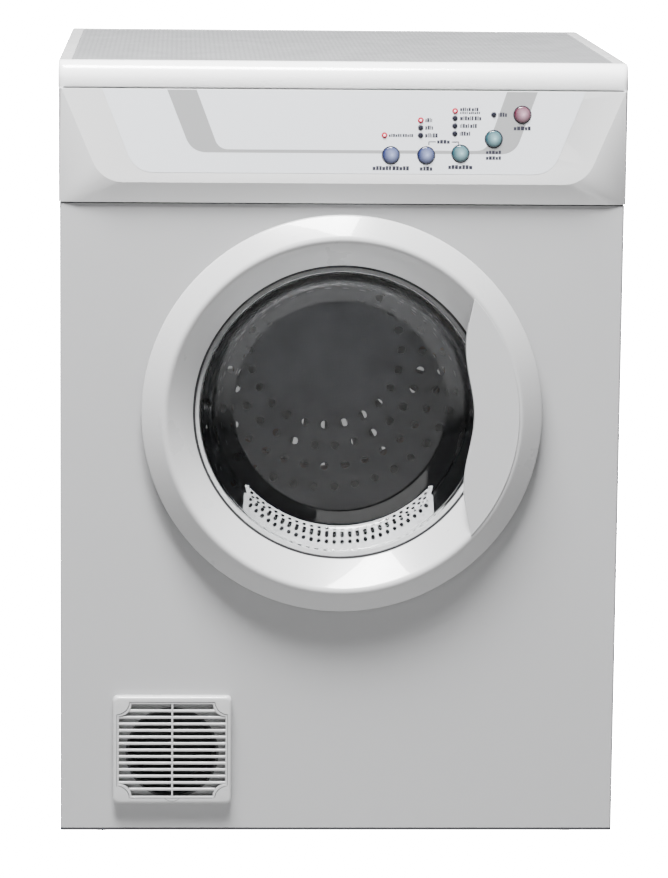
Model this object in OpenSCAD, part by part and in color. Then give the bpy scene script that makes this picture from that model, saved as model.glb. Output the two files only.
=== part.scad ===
// Front-loading vented clothes dryer, built as the pieces that it comes apart into.
// Millimetres. X is to the right, Y goes back into the machine, Z is up.
// The origin is on the floor, at the middle of the whole object's footprint.
// Depths called d are measured back from the front panel's outer face.

/* [Cabinet] */
// Width of the steel cabinet
cabinet_w = 597; // [590:1:599]
// Depth of the steel cabinet, front face to rear face
cabinet_d = 545; // [540:1:548]
// Height of the levelling feet under the cabinet
foot_h = 20; // [18:1:26]
// Thickness of the cabinet's steel sheet
sheet = 1; // [0.8:0.1:1.2]
// Height of the levelling feet's threaded stems above the base
stem_h = 24; // [18:1:30]

/* [Worktop and fascia] */
// Width of the worktop
worktop_w = 600; // [599:1:602]
// Thickness of the worktop
worktop_t = 28.5; // [26:0.5:32]
// How far the worktop stands out in front of the front panel
worktop_front = 5; // [3:0.5:7]
// Depth of the worktop behind the front panel's face
worktop_back = 561; // [561:1:566]
// Width of the control fascia
fascia_w = 599; // [599:0.5:600]
// Height of the control fascia
fascia_h = 120; // [118:1:124]
// How far the raised middle of the fascia stands out
fascia_proud = 12; // [11:0.5:13]

/* [Door] */
// Sideways place of the door's axis
door_x = 1; // [0:0.5:2]
// Height of the door's axis above the floor
door_z = 477; // [475:0.5:479]
// Outer radius of the door ring
door_r = 213; // [212:0.5:214]
// How far the ridge of the door ring stands out
door_proud = 29; // [28.5:0.5:30]
// Radius of the ring's edge around the glass
window_r = 158.3; // [157.9:0.1:158.6]
// Depth of the glass bowl's flat bottom, behind the front panel's face
bowl_d = 50; // [46:1:51]

/* [Drum] */
// Outer radius of the drum
drum_r = 270; // [268:0.5:271]
// Number of lifters inside the drum
lifter_count = 3; // [2:1:4]
// Radius of the opening at the drum's front
drum_mouth_r = 180; // [180:0.1:181]

/* [Vent grille] */
// Width of the grille's plate
grille_w = 127.5; // [124:0.5:132]
// Height of the grille's plate
grille_h = 118.5; // [116:0.5:122]
// Number of slats across the grille
slat_count = 13; // [9:2:13]
// Spacing of the slats
slat_pitch = 7.2; // [6.8:0.1:7.4]
// Height of each slat
slat_t = 2.8; // [2.2:0.2:3.6]

/* [Hidden] */
$fn = 96;
// How far a cutting shape runs past the face that it cuts
cut = 1;

// Heights of the main joints
plinth_t = 3;
panel_z0 = foot_h + plinth_t;
worktop_z1 = 850;
worktop_z0 = worktop_z1 - worktop_t;
fascia_z0 = worktop_z0 - fascia_h;
panel_z1 = fascia_z0 - 1.5;

// The footprint's middle is the origin, so the front panel's face lies here.
front_y = -(door_proud + worktop_back) / 2 + door_proud;

cabinet_x = cabinet_w / 2;
front_wrap_d = 15;
flange_w = 14;

// Levelling feet
foot_x = 255;
foot_d = [95, 480];
foot_stem_r = 5;

// Worktop
trim_w = 14;
board_drop = 0.6;
worktop_round = 10;

// Fascia
fascia_x = fascia_w / 2;
fascia_wall = 2.5;
plateau_x = 296;
plateau_z0 = fascia_z0 + 21.9;
plateau_lean = 23;
overlay_x = 253.6;
overlay_z0 = fascia_z0 + 32.5;
overlay_lean = 21.6;
overlay_t = 0.6;

// Push buttons: [x, height above the fascia's bottom edge], from left to right
button_places = [[49.4, 52], [86.5, 52.1], [122.6, 54.1], [157.4, 69.7], [187.2, 95.4]];
button_r = 8.5;
button_gap = 0.5;
button_flange_r = 10.5;
button_travel = 2;
// Indicators in the same measure: one beside each row of choices is lit
lit_places = [[42.4, 73], [80.3, 89], [116.3, 99]];
unlit_places = [[80.3, 81.1], [80.3, 73], [116.3, 91.2], [116.3, 83.2], [116.3, 75], [157.1, 95.2]];
indicator_r = 2.3;

// Door
ridge_r = 188;
ridge_round = 3;
rim_chamfer = 5.5;
ring_wall = 2.5;
ring_back_d = -1.5;
rim_top_d = -12;
back_ring_d = ring_back_d - 2;
glass_r = 157.6;
glass_t = 4;
glass_front_d = 4.3;
bowl_flat_r = 122;
bowl_round = 13;

// Door handle: a plate level with the ridge, whose inner edge is a shallow wave
handle_t = 4;
handle_lip = 14;
handle_edge_x = 135;
handle_wave = 5;
handle_wave_half = 75;
handle_half_h = 126;

// Door hinge
hinge_x = door_x - 203;
hinge_d = -12;
hinge_pin_r = 2;
knuckle_r = 2.9;
leaf_half = 19.6;
barrel_z = [20, 33];
arm_t = 2;
leg_x = [18, 20];

// Door catch and switch, in the panel behind the door ring
catch_x = door_x + 197;
switch_x = door_x + 162;
switch_z = door_z + 114;
plunger_r = 3;
plunger_travel = 4;

// Tunnel between the door opening and the drum
panel_hole_r = 172;
tunnel_r = 166;
tunnel_wall = 2.5;
tunnel_d1 = 94;
felt_r = drum_mouth_r - 0.3;

// Lint filter: an arched guard over a screen that drops into a slot in the tunnel's floor
guard_r = [134, 163];
guard_d = [58, 61];
guard_half_w = 103;
guard_post_w = 5;
guard_hole_r = 2.2;
guard_columns = 26;
guard_spread = 45.5;
guard_rows = 3;
guard_row_pitch = 6.2;
guard_first_row = 4.2;
screen_half_w = 92;
screen_z0 = 236;
screen_d = [61, 69];

// Drum
drum_d0 = 84;
drum_wall_d = 98;
drum_d1 = 490;
drum_sheet = 1;
bead_h = 2.5;
shaft_r = 10;
running_gap = 0.05;
lifter_h = 46;
lifter_wall = 3;

// Motor, fan and belt
motor_x = 95;
motor_z = 118;
motor_r = 58;
motor_d = [165, 325];
fan_r = 70;
fan_case_r = 86;
fan_d = [76, 138];
duct_top_z = motor_z + fan_case_r + 0.5;
pulley_r = 9;
idler_x = 4;
idler_z = 171.6;
idler_r = 20;
pivot_x = -10;
pivot_z = 60;
pivot_r = 6;
belt_d = [355, 365];
belt_t = 3;
belt_gap = 0.3;

// Air ducts
duct_wall = 2;
duct_d = [80, 136];
vent_x = -178;
vent_z = 106;
vent_r = 48;
grille_x = -178;
grille_z = 110.6;
grille_proud = 9;

// Heater and rear cover
heater_r = 199;
heater_d = 500;
cover_r = 212;

// Mains cord entry
cord_x = 225;
cord_z = 70;

// Screws that hold the rear panel to the side panels
screw_heights = [90, 320, 560, 790];
screw_x = cabinet_x - 8;
screw_r = 2;

// ---------- Helpers ----------

// A flat shape in X and Z, made solid between two depths
module along_depth(d0, d1) {
    translate([0, front_y + d1, 0])
        rotate([90, 0, 0])
            linear_extrude(d1 - d0)
                children();
}

// A flat shape in X and depth, made solid between two heights
module upright(z0, z1) {
    translate([0, front_y, z0])
        linear_extrude(z1 - z0)
            children();
}

// A flat shape in depth and Z, made solid from one side to the other
module across(x0, x1) {
    translate([x0, front_y, 0])
        rotate([90, 0, 90])
            linear_extrude(x1 - x0)
                children();
}

// Puts a solid whose axis is its own Z on an axis that runs back into the machine
module on_axis(x, z, d = 0) {
    translate([x, front_y + d, z])
        rotate([-90, 0, 0])
            children();
}

// A solid turned about the door's axis from an outline in radius and depth
module turned(outline) {
    on_axis(door_x, door_z)
        rotate_extrude()
            polygon(outline);
}

module block(x, d, z) {
    translate([x[0], front_y + d[0], z[0]])
        cube([x[1] - x[0], d[1] - d[0], z[1] - z[0]]);
}

module rod(x, z, r, d0, d1) {
    on_axis(x, z, d0)
        cylinder(r = r, h = d1 - d0);
}

module tube(x, z, r0, r1, d0, d1) {
    difference() {
        rod(x, z, r1, d0, d1);
        rod(x, z, r0, d0 - cut, d1 + cut);
    }
}

// A rectangle with round corners, between two opposite corner points
module round_rect(x0, y0, x1, y1, r) {
    translate([x0 + r, y0])
        square([x1 - x0 - 2 * r, y1 - y0]);
    translate([x0, y0 + r])
        square([x1 - x0, y1 - y0 - 2 * r]);
    for (x = [x0 + r, x1 - r], y = [y0 + r, y1 - r])
        translate([x, y])
            circle(r = r);
}

// Points along an arc, in the plane of the outline that uses it
function arc(x, y, r, a0, a1, steps) =
    [for (i = [0:steps]) let (a = a0 + (a1 - a0) * i / steps) [x + r * cos(a), y + r * sin(a)]];

// A tub-shaped outline: a flat top, sides that lean inwards, and round lower corners
function tub(half_w, z_top, z_bottom, lean, r) =
    let (
        corner_x = half_w - (z_top - z_bottom) * tan(lean),
        arc_x = corner_x - r * tan((90 - lean) / 2)
    )
    concat(
        [[-half_w, z_top]],
        arc(-arc_x, z_bottom + r, r, 180 + lean, 270, 10),
        arc(arc_x, z_bottom + r, r, 270, 360 - lean, 10),
        [[half_w, z_top]]
    );

// Half the width of the chord that a circle has at a given height from its middle
function half_chord(r, h) = sqrt(r * r - h * h);

// ---------- Cabinet ----------

module base_tray() {
    wall_x = cabinet_x - sheet - 0.5;
    color("dimgray")
    difference() {
        union() {
            upright(foot_h, panel_z0)
                round_rect(-cabinet_x, 0, cabinet_x, cabinet_d, 3);
            difference() {
                block([-wall_x, wall_x], [1.5, cabinet_d - 2.5], [panel_z0, 60]);
                block([-wall_x + 1.5, wall_x - 1.5], [3, cabinet_d - 4], [panel_z0, 61]);
            }
        }
        for (x = [-foot_x, foot_x], d = foot_d)
            translate([x, front_y + d, foot_h - cut])
                cylinder(r = foot_stem_r + 0.2, h = plinth_t + 2 * cut);
        rod(vent_x, vent_z, vent_r + duct_wall + 0.3, 0, 5);
    }
}

module levelling_feet() {
    color("#202225")
    for (x = [-foot_x, foot_x], d = foot_d)
        translate([x, front_y + d, 0]) {
            cylinder(r1 = 21, r2 = 23, h = 2);
            translate([0, 0, 2])
                cylinder(r = 23, h = 6);
            translate([0, 0, 8])
                cylinder(r = 14, h = foot_h - 8, $fn = 6);
            cylinder(r = foot_stem_r, h = foot_h + stem_h);
        }
}

// One side sheet with its flanges and its shallow pressed panel, for the right-hand side
module side_panel() {
    x1 = cabinet_x;
    x0 = x1 - sheet;
    press = 2.5;
    difference() {
        union() {
            block([x0, x1], [front_wrap_d + 0.2, cabinet_d - sheet], [panel_z0, worktop_z0]);
            block([x1 - flange_w, x0], [front_wrap_d + 0.2, front_wrap_d + 0.2 + sheet],
                [panel_z0 + 40, worktop_z0]);
            block([x1 - flange_w, x0], [cabinet_d - 2 * sheet, cabinet_d - sheet],
                [panel_z0, worktop_z0]);
            block([x1 - flange_w, x0], [front_wrap_d + 0.2, cabinet_d - sheet],
                [worktop_z0 - sheet, worktop_z0]);
            across(x1 - press - sheet, x0)
                round_rect(79, 109, 481, 741, 26);
        }
        across(x1 - press, x1 + cut)
            round_rect(80, 110, 480, 740, 25);
        for (z = screw_heights)
            rod(screw_x, z, screw_r + 0.1, cabinet_d - 3 * sheet, cabinet_d);
    }
}

module side_panel_right() {
    color("gainsboro")
    side_panel();
}

module side_panel_left() {
    color("gainsboro")
    mirror([1, 0, 0])
        side_panel();
}

module front_panel() {
    color("whitesmoke")
    difference() {
        union() {
            upright(panel_z0, panel_z1)
                difference() {
                    round_rect(-cabinet_x, 0, cabinet_x, 40, 3);
                    round_rect(-cabinet_x + sheet, sheet, cabinet_x - sheet, 39, 2);
                    translate([-cabinet_x - cut, front_wrap_d])
                        square([cabinet_w + 2 * cut, 40]);
                }
            block([-cabinet_x + 4, cabinet_x - 4], [sheet, 12], [panel_z1 - sheet, panel_z1]);
        }
        rod(door_x, door_z, panel_hole_r, -cut, 2 * sheet);
        rod(vent_x, vent_z, vent_r + duct_wall + 0.2, -cut, 2 * sheet);
        rod(switch_x, switch_z, plunger_r + 0.4, -cut, 2 * sheet);
        block([catch_x - 6, catch_x + 6], [-cut, 2 * sheet], [door_z - 11, door_z + 11]);
        hinge_slots();
    }
}

// The two slots that let the hinge bracket's arms through the front panel and the tunnel's flange
module hinge_slots() {
    for (side = [-1, 1])
        block([hinge_x + leg_x[0] - 1, hinge_x + leg_x[1] + 1], [-cut, 4.5],
            [door_z + side * 26.5 - 7.5, door_z + side * 26.5 + 7.5]);
}

module rear_panel() {
    color("silver")
    difference() {
        block([-cabinet_x, cabinet_x], [cabinet_d - sheet, cabinet_d], [panel_z0, worktop_z0]);
        rod(door_x, door_z, heater_r - 1, cabinet_d - 2, cabinet_d + cut);
        rod(cord_x, cord_z, 9.1, cabinet_d - 2, cabinet_d + cut);
        for (x = [-screw_x, screw_x], z = screw_heights)
            rod(x, z, screw_r + 0.1, cabinet_d - 2, cabinet_d + cut);
    }
}

// Screws with pan heads, in a column down each side of the rear panel
module cabinet_screws() {
    color("slategray")
    for (x = [-screw_x, screw_x], z = screw_heights) {
        rod(x, z, screw_r, cabinet_d - 9, cabinet_d);
        rod(x, z, 4, cabinet_d, cabinet_d + 2.2);
    }
}

// The dished cover over the heater, with a wheel of air slots
module rear_air_cover() {
    back = worktop_back;
    slots = 24;
    color("silver")
    difference() {
        turned([
            [0, back], [190, back], [198, cabinet_d + 1.2], [cover_r, cabinet_d + 1.2],
            [cover_r, cabinet_d], [196.8, cabinet_d], [189, back - 1.2], [0, back - 1.2],
        ]);
        for (i = [0:slots - 1])
            on_axis(door_x, door_z, back - 3)
                rotate([0, 0, 360 * i / slots])
                    linear_extrude(6) {
                        translate([90, -3])
                            square([75, 6]);
                        translate([90, 0])
                            circle(r = 3);
                        translate([165, 0])
                            circle(r = 3);
                    }
    }
}

// Two U-shaped braces that tie the side panels together under the worktop
module top_braces() {
    brace_x = cabinet_x - sheet;
    color("silver")
    for (d = [32, 500])
        difference() {
            block([-brace_x, brace_x], [d, d + 30], [worktop_z0 - 22, worktop_z0 - sheet]);
            block([-brace_x - cut, brace_x + cut], [d + 1.2, d + 28.8],
                [worktop_z0 - 20.8, worktop_z0]);
        }
}

// ---------- Worktop ----------

module worktop_board() {
    board_x = worktop_w / 2 - trim_w;
    color("gainsboro")
    block([-board_x, board_x], [12, worktop_back - 8], [worktop_z0, worktop_z1 - board_drop]);
}

// The moulded edges of the worktop: a rounded nosing, two side strips and a rear strip
module worktop_trims() {
    half = worktop_w / 2;
    inner = half - trim_w;
    r = worktop_round;
    nosing = concat(
        [[12, worktop_z0], [12, worktop_z1]],
        arc(r - worktop_front, worktop_z1 - r, r, 90, 180, 12),
        arc(2 - worktop_front, worktop_z0 + 2, 2, 180, 270, 4)
    );
    color("white") {
        across(-half, half)
            polygon(nosing);
        for (side = [0, 1])
            mirror([side, 0, 0])
                along_depth(12, worktop_back)
                    polygon(concat(
                        [[inner, worktop_z0], [half, worktop_z0]],
                        arc(half - 3, worktop_z1 - 3, 3, 0, 90, 6),
                        [[inner, worktop_z1]]
                    ));
        block([-inner, inner], [worktop_back - 8, worktop_back], [worktop_z0, worktop_z1]);
    }
}

// ---------- Control fascia ----------

// The fascia's outer form, or its hollow when shrunk by a wall thickness
module fascia_form(wall) {
    x = fascia_x - wall;
    z0 = fascia_z0 + wall;
    z1 = worktop_z0 + (wall > 0 ? cut : 0);
    front = -fascia_proud + wall;
    hull() {
        along_depth(front, front + 0.1)
            polygon(tub(plateau_x - wall, z1, plateau_z0 + wall / 2, plateau_lean, 34));
        block([-x, x], [-0.5 + wall, wall], [z0, z1]);
        block([20 - x, x - 20], [-2.5 + wall, wall], [z0, z0 + 0.5]);
    }
}

module control_fascia() {
    board_posts = [[30, 42], [206, 42], [30, 105], [206, 105]];
    color("whitesmoke")
    difference() {
        union() {
            difference() {
                union() {
                    fascia_form(0);
                    block([-fascia_x, fascia_x], [0, front_wrap_d], [fascia_z0, worktop_z0]);
                }
                fascia_form(fascia_wall);
                block([-fascia_x + fascia_wall, fascia_x - fascia_wall], [2, front_wrap_d + cut],
                    [fascia_z0 + fascia_wall, worktop_z0 + cut]);
            }
            for (p = board_posts)
                rod(p[0], fascia_z0 + p[1], 3, -fascia_proud + 1, 3);
        }
        panel_bores(button_places, button_r + button_gap);
        panel_bores(concat(lit_places, unlit_places), indicator_r);
    }
}

// Round holes through the front of the fascia and its overlay
module panel_bores(places, r) {
    for (p = places)
        rod(p[0], fascia_z0 + p[1], r, -fascia_proud - 2, -fascia_proud + fascia_wall + 1);
}

// The thin printed plate that carries the controls' markings
module fascia_overlay() {
    color("lightsteelblue")
    difference() {
        along_depth(-fascia_proud - overlay_t, -fascia_proud)
            polygon(tub(overlay_x, worktop_z0 - 0.3, overlay_z0, overlay_lean, 30));
        panel_bores(button_places, button_r + button_gap);
        panel_bores(concat(lit_places, unlit_places), indicator_r);
    }
}

module indicators(places) {
    for (p = places)
        rod(p[0], fascia_z0 + p[1], indicator_r, -fascia_proud - 1.2, -fascia_proud + fascia_wall);
}

module lit_indicators() {
    color("deeppink")
    indicators(lit_places);
}

module unlit_indicators() {
    color("#1a1a1e")
    indicators(unlit_places);
}

// A circuit board with a key switch behind each button and a lamp behind each indicator
module control_board() {
    lamps = concat(lit_places, unlit_places);
    color("seagreen") {
        block([22, 214], [3, 4.6], [fascia_z0 + 36, fascia_z0 + 111]);
        for (p = button_places)
            block([p[0] - 3, p[0] + 3], [-0.8, 3], [fascia_z0 + p[1] - 3, fascia_z0 + p[1] + 3]);
        for (p = lamps)
            rod(p[0], fascia_z0 + p[1], 1.5, -fascia_proud + fascia_wall + 0.5, 3);
        for (x = [60, 100, 140])
            block([x, x + 28], [4.6, 20], [fascia_z0 + 50, fascia_z0 + 66]);
        block([60, 110], [4.6, 26], [fascia_z0 + 74, fascia_z0 + 104]);
    }
}

// A domed push button with a flange behind the fascia and a stem towards its key switch
module push_button(place) {
    dome_r = 16.2;
    face = -fascia_proud - 5.2;
    x = place[0];
    z = fascia_z0 + place[1];
    intersection() {
        rod(x, z, button_r, face - cut, -9.3);
        on_axis(x, z, face + dome_r)
            sphere(r = dome_r);
    }
    rod(x, z, button_flange_r, -9.3, -7.8);
    rod(x, z, 3, -7.8, -3);
}

module power_button() {
    color("palevioletred")
    push_button(button_places[4]);
}

module start_button() {
    color("cadetblue")
    push_button(button_places[3]);
}

module program_button() {
    color("cadetblue")
    push_button(button_places[2]);
}

module heat_button() {
    color("slateblue")
    push_button(button_places[1]);
}

module crease_button() {
    color("slateblue")
    push_button(button_places[0]);
}

// ---------- Door opening ----------

module front_tunnel() {
    color("white")
    difference() {
        turned([
            [tunnel_r, sheet], [190, sheet], [190, 3.5], [tunnel_r + tunnel_wall, 3.5],
            [tunnel_r + tunnel_wall, 80], [176, 80], [176, tunnel_d1], [tunnel_r, tunnel_d1],
        ]);
        block([-screen_half_w - 2, screen_half_w + 2], [60, 72], [290, 350]);
        hinge_slots();
        block([catch_x - 10.3, catch_x + 11], [0, 4], [door_z - 16.3, door_z + 16.3]);
        block([switch_x - 9.3, switch_x + 40], [0, 4], [switch_z - 12.3, switch_z + 60]);
    }
}

// The felt band that the drum's front edge runs on
module drum_felt() {
    color("lightgray")
    tube(door_x, door_z, 176, felt_r, 82, 93);
}

// The pocket under the tunnel that the filter's screen drops into
module filter_housing() {
    color("white")
    difference() {
        block([-100, 100], [55, 78], [duct_top_z, 360]);
        block([-95.5, 95.5], [57, 76], [duct_top_z - cut, 361]);
        rod(door_x, door_z, tunnel_r + tunnel_wall, 50, 79);
    }
}

module hinge_bracket() {
    bend = [hinge_x + leg_x[0], hinge_x + leg_x[1]];
    color("lightslategray") {
        for (side = [-1, 1]) {
            z0 = door_z + (side > 0 ? barrel_z[0] : -barrel_z[1]);
            z1 = z0 + barrel_z[1] - barrel_z[0];
            difference() {
                upright(z0, z1) {
                    translate([hinge_x, hinge_d])
                        circle(r = knuckle_r);
                    translate([hinge_x, hinge_d - arm_t / 2])
                        square([leg_x[1], arm_t]);
                    translate([bend[0], hinge_d - arm_t / 2])
                        square([arm_t, 5 - hinge_d + arm_t / 2]);
                }
                hinge_bore(hinge_pin_r + 0.02);
            }
        }
        block([hinge_x - 12, hinge_x + 32], [3.5, 5.5], [door_z - 40, door_z + 40]);
    }
}

// The hinge's axis as a long upright cylinder, for its bores
module hinge_bore(r) {
    translate([hinge_x, front_y + hinge_d, door_z - 60])
        cylinder(r = r, h = 120);
}

module hinge_pin() {
    color("lightslategray") {
        translate([hinge_x, front_y + hinge_d, door_z - 34])
            cylinder(r = hinge_pin_r, h = 68);
        for (z = [door_z - 35, door_z + 34])
            translate([hinge_x, front_y + hinge_d, z])
                cylinder(r = 3, h = 1);
    }
}

module hinge_leaf() {
    color("lightslategray")
    difference() {
        upright(door_z - leaf_half, door_z + leaf_half) {
            translate([hinge_x, hinge_d])
                circle(r = knuckle_r);
            translate([hinge_x, hinge_d - knuckle_r])
                square([20, 2]);
        }
        hinge_bore(hinge_pin_r + running_gap);
    }
}

module door_catch() {
    color("ivory")
    difference() {
        block([catch_x - 10, catch_x + 10], [sheet, 24], [door_z - 16, door_z + 16]);
        block([catch_x - 6, catch_x + 6], [0, 21], [door_z - 11, door_z + 11]);
    }
}

module door_strike() {
    color("silver") {
        block([catch_x - 2, catch_x + 2], [ring_back_d, 15], [door_z - 7, door_z + 7]);
        on_axis(catch_x, door_z, 12)
            translate([0, -7, 0])
                rotate([-90, 0, 0])
                    cylinder(r = 3.6, h = 14);
    }
}

module door_switch() {
    color("ivory")
    difference() {
        block([switch_x - 9, switch_x + 9], [sheet, 26], [switch_z - 12, switch_z + 12]);
        rod(switch_x, switch_z, plunger_r + 0.4, 0, 17);
    }
}

// The switch's plunger, pressed in by the closed door
module switch_plunger() {
    color("dimgray") {
        rod(switch_x, switch_z, plunger_r, -1.2, 12);
    }
}

// ---------- Door ----------

// The ring's section: a chamfered rim, an outer slope, a rounded ridge and an inner cone
module ring_section() {
    rim = door_r;
    w = ring_wall;
    outer = concat(
        [[rim - rim_chamfer, ring_back_d], [rim, ring_back_d - rim_chamfer], [rim, rim_top_d]],
        arc(ridge_r, -door_proud + ridge_round, ridge_round, -55, -135, 8),
        [[window_r, 0], [window_r, 3]]
    );
    inner = [
        [window_r + w, 3], [window_r + w, 0.4], [ridge_r - 2, -door_proud + 4.6],
        [ridge_r + 2, -door_proud + 4.6], [rim - w, rim_top_d + 1.4],
        [rim - w, ring_back_d - rim_chamfer - 0.2], [rim - rim_chamfer - w, ring_back_d],
    ];
    polygon(concat(outer, inner));
}

module door_ring() {
    color("white")
    difference() {
        union() {
            on_axis(door_x, door_z)
                rotate_extrude()
                    ring_section();
            hinge_bosses();
        }
        along_depth(-door_proud - cut, -door_proud + handle_t)
            handle_outline(0);
        translate([hinge_x, front_y + hinge_d, door_z - 36])
            cylinder(r = knuckle_r + 0.4, h = 72);
        for (side = [-1, 1])
            block([hinge_x - 12, hinge_x + 3], [-11, 0],
                [door_z + side * 26.5 - 7.7, door_z + side * 26.5 + 7.7]);
    }
}

// Bosses inside the ring that the hinge leaf screws to
module hinge_bosses() {
    for (side = [-1, 1])
        rod(hinge_x + 14, door_z + side * 12, 3.5, -door_proud + 6, hinge_d - knuckle_r);
}

// The handle's outline: the inside of the ridge circle, right of a wavy edge
module handle_outline(inset) {
    steps = 28;
    wave = [
        for (i = [0:steps])
            let (h = handle_half_h * (2 * i / steps - 1))
            [door_x + handle_edge_x + inset + handle_wave * cos(180 * h / handle_wave_half), door_z + h]
    ];
    intersection() {
        translate([door_x, door_z])
            circle(r = ridge_r - 0.3);
        polygon(concat(wave, [
            [door_x + ridge_r, door_z + handle_half_h],
            [door_x + ridge_r, door_z - handle_half_h],
        ]));
    }
}

module door_handle() {
    color("lightgray") {
        along_depth(-door_proud, -door_proud + handle_t)
            handle_outline(0);
        intersection() {
            along_depth(-door_proud + handle_t, -door_proud + handle_lip)
                difference() {
                    handle_outline(0);
                    handle_outline(3);
                }
            rod(door_x, door_z, 167, -door_proud, 0);
        }
    }
}

// The flat ring that closes the back of the door and holds the glass
module door_back_ring() {
    inner = window_r + ring_wall + 0.5;
    color("white")
    difference() {
        turned([
            [inner + 4.8, back_ring_d], [door_r - 8.3, back_ring_d], [door_r - 8.3, ring_back_d],
            [inner + 4.4, ring_back_d], [inner + 2.2, 0.9], [inner + 2.2, 10.5],
            [152, 10.5], [152, 8.4], [inner, 8.4], [inner, 0.4],
        ]);
        block([hinge_x - 12, hinge_x + leg_x[1] + 4], [back_ring_d - cut, 0],
            [door_z - 36, door_z + 36]);
    }
}

// A deep glass bowl: a flat rim, a sloping wall and a flat bottom
module door_glass() {
    t = glass_t;
    inside = concat(
        [[149, glass_front_d], [147, glass_front_d + 2]],
        arc(bowl_flat_r, bowl_d - bowl_round, bowl_round, 25, 90, 8),
        [[0, bowl_d]]
    );
    outside = concat(
        [[0, bowl_d + t]],
        arc(bowl_flat_r, bowl_d - bowl_round, bowl_round + t, 90, 25, 8),
        [[150.6, glass_front_d + t], [glass_r, glass_front_d + t], [glass_r, glass_front_d]]
    );
    color("lightslategray", 0.4)
    turned(concat(inside, outside));
}

// A black rubber ring around the glass, with a lip that shows beside the ring
module glass_gasket() {
    r1 = window_r + ring_wall + 0.4;
    color("#161616")
    turned([
        [155.8, 3.2], [r1, 3.2], [r1, 8.3], [glass_r + 0.1, 8.3],
        [glass_r + 0.1, glass_front_d - 0.1], [155.8, glass_front_d - 0.1],
    ]);
}

// The soft ring on the door's back that closes against the tunnel
module door_seal() {
    color("darkgray")
    tube(door_x, door_z, 166, 171, ring_back_d, 0.6);
}

// ---------- Lint filter ----------

// The arched strip's outline, with its rows of holes; its middle is the door's axis
module guard_sheet() {
    top = guard_r[0];
    shoulder = half_chord(top, guard_half_w - guard_post_w - 1.5);
    difference() {
        intersection() {
            circle(r = guard_r[1]);
            translate([-guard_half_w, -170])
                square([2 * guard_half_w, 170 - shoulder]);
        }
        circle(r = top);
        for (i = [0:guard_columns - 1], row = [1:guard_rows]) {
            a = guard_spread * (2 * i / (guard_columns - 1) - 1);
            translate([top * sin(a), -top * cos(a) - guard_first_row - guard_row_pitch * (row - 1)])
                circle(r = guard_hole_r);
        }
    }
}

// The perforated strip over the tunnel's floor, with a post at each end
module filter_guard() {
    post_z1 = door_z - half_chord(guard_r[0], guard_half_w - guard_post_w) + 2;
    color("aliceblue") {
        along_depth(guard_d[0], guard_d[1])
            translate([door_x, door_z])
                guard_sheet();
        for (x = [-guard_half_w, guard_half_w - guard_post_w])
            block([door_x + x, door_x + x + guard_post_w], [guard_d[0] - 2, guard_d[1]],
                [post_z1 - 30, post_z1]);
    }
}

// The screen's frame and its fine sheet, below the guard
module filter_screen() {
    bars = 4;
    color("white")
    difference() {
        block([door_x - screen_half_w, door_x + screen_half_w], screen_d, [screen_z0, 350]);
        rod(door_x, door_z, 156, screen_d[0] - cut, screen_d[1] + cut);
        for (i = [0:bars - 1]) {
            w = (2 * screen_half_w - 6) / bars;
            x = door_x - screen_half_w + 3 + i * w;
            block([x + 2, x + w - 2], [screen_d[0] - cut, 64.6], [screen_z0 + 5, 300]);
            block([x + 2, x + w - 2], [65.4, screen_d[1] + cut], [screen_z0 + 5, 300]);
        }
    }
}

// ---------- Drum ----------

// The rolled shell: a front lip, a front wall, a round wall with two beads, and a rear edge
module drum_shell() {
    r = drum_r;
    t = drum_sheet;
    b = bead_h;
    function bead(d, s) = [[r + s, d - 12], [r + b + s, d - 8], [r + b + s, d + 8], [r + s, d + 12]];
    outer = concat(
        [[drum_mouth_r + t, drum_d0], [drum_mouth_r + t, drum_wall_d - t], [r - 12, drum_wall_d - t]],
        [[r, drum_wall_d + 9]],
        bead(200, 0),
        bead(440, 0),
        [[r, drum_d1]]
    );
    inner = concat(
        [[r - t, drum_d1]],
        [for (p = concat([[r, drum_wall_d + 9]], bead(200, 0), bead(440, 0))) [p[0] - t, p[1]]]
    );
    back = [for (i = [len(inner) - 1:-1:1]) inner[i]];
    color("slategray")
    turned(concat(
        outer,
        [inner[0]],
        back,
        [[r - 12.6, drum_wall_d], [drum_mouth_r, drum_wall_d], [drum_mouth_r, drum_d0]]
    ));
}

// The drum's perforated rear wall
module drum_rear_wall() {
    face = drum_d1 - 4;
    rings = [[90, 24], [115, 30], [140, 36], [165, 42]];
    color("slategray")
    difference() {
        union() {
            rod(door_x, door_z, drum_r - drum_sheet - 0.1, face, face + 1.2);
            tube(door_x, door_z, drum_r - drum_sheet - 1.2, drum_r - drum_sheet - 0.1, face - 6, face);
        }
        for (ring = rings, i = [0:ring[1] - 1]) {
            a = 360 * i / ring[1];
            rod(door_x + ring[0] * cos(a), door_z + ring[0] * sin(a), 4.5, face - cut, face + 2);
        }
    }
}

// The section of a lifter, or of the hollow inside it
function lifter_section(wall) =
    let (foot = drum_r - 4, top = foot - lifter_h)
    concat(
        [[wall - 35, -foot - (wall > 0 ? cut : 0)]],
        arc(0, -top - 10, 10 - wall, 160, 20, 10),
        [[35 - wall, -foot - (wall > 0 ? cut : 0)]]
    );

// Hollow-backed bars that lift the laundry as the drum turns
module drum_lifters() {
    d0 = 115;
    d1 = drum_d1 - 18;
    color("white")
    for (i = [0:lifter_count - 1])
        translate([door_x, 0, door_z])
            rotate([0, 180 + 360 * i / lifter_count, 0])
                difference() {
                    along_depth(d0, d1)
                        polygon(lifter_section(0));
                    along_depth(d0 + lifter_wall, d1 - lifter_wall)
                        polygon(lifter_section(lifter_wall));
                }
}

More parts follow.
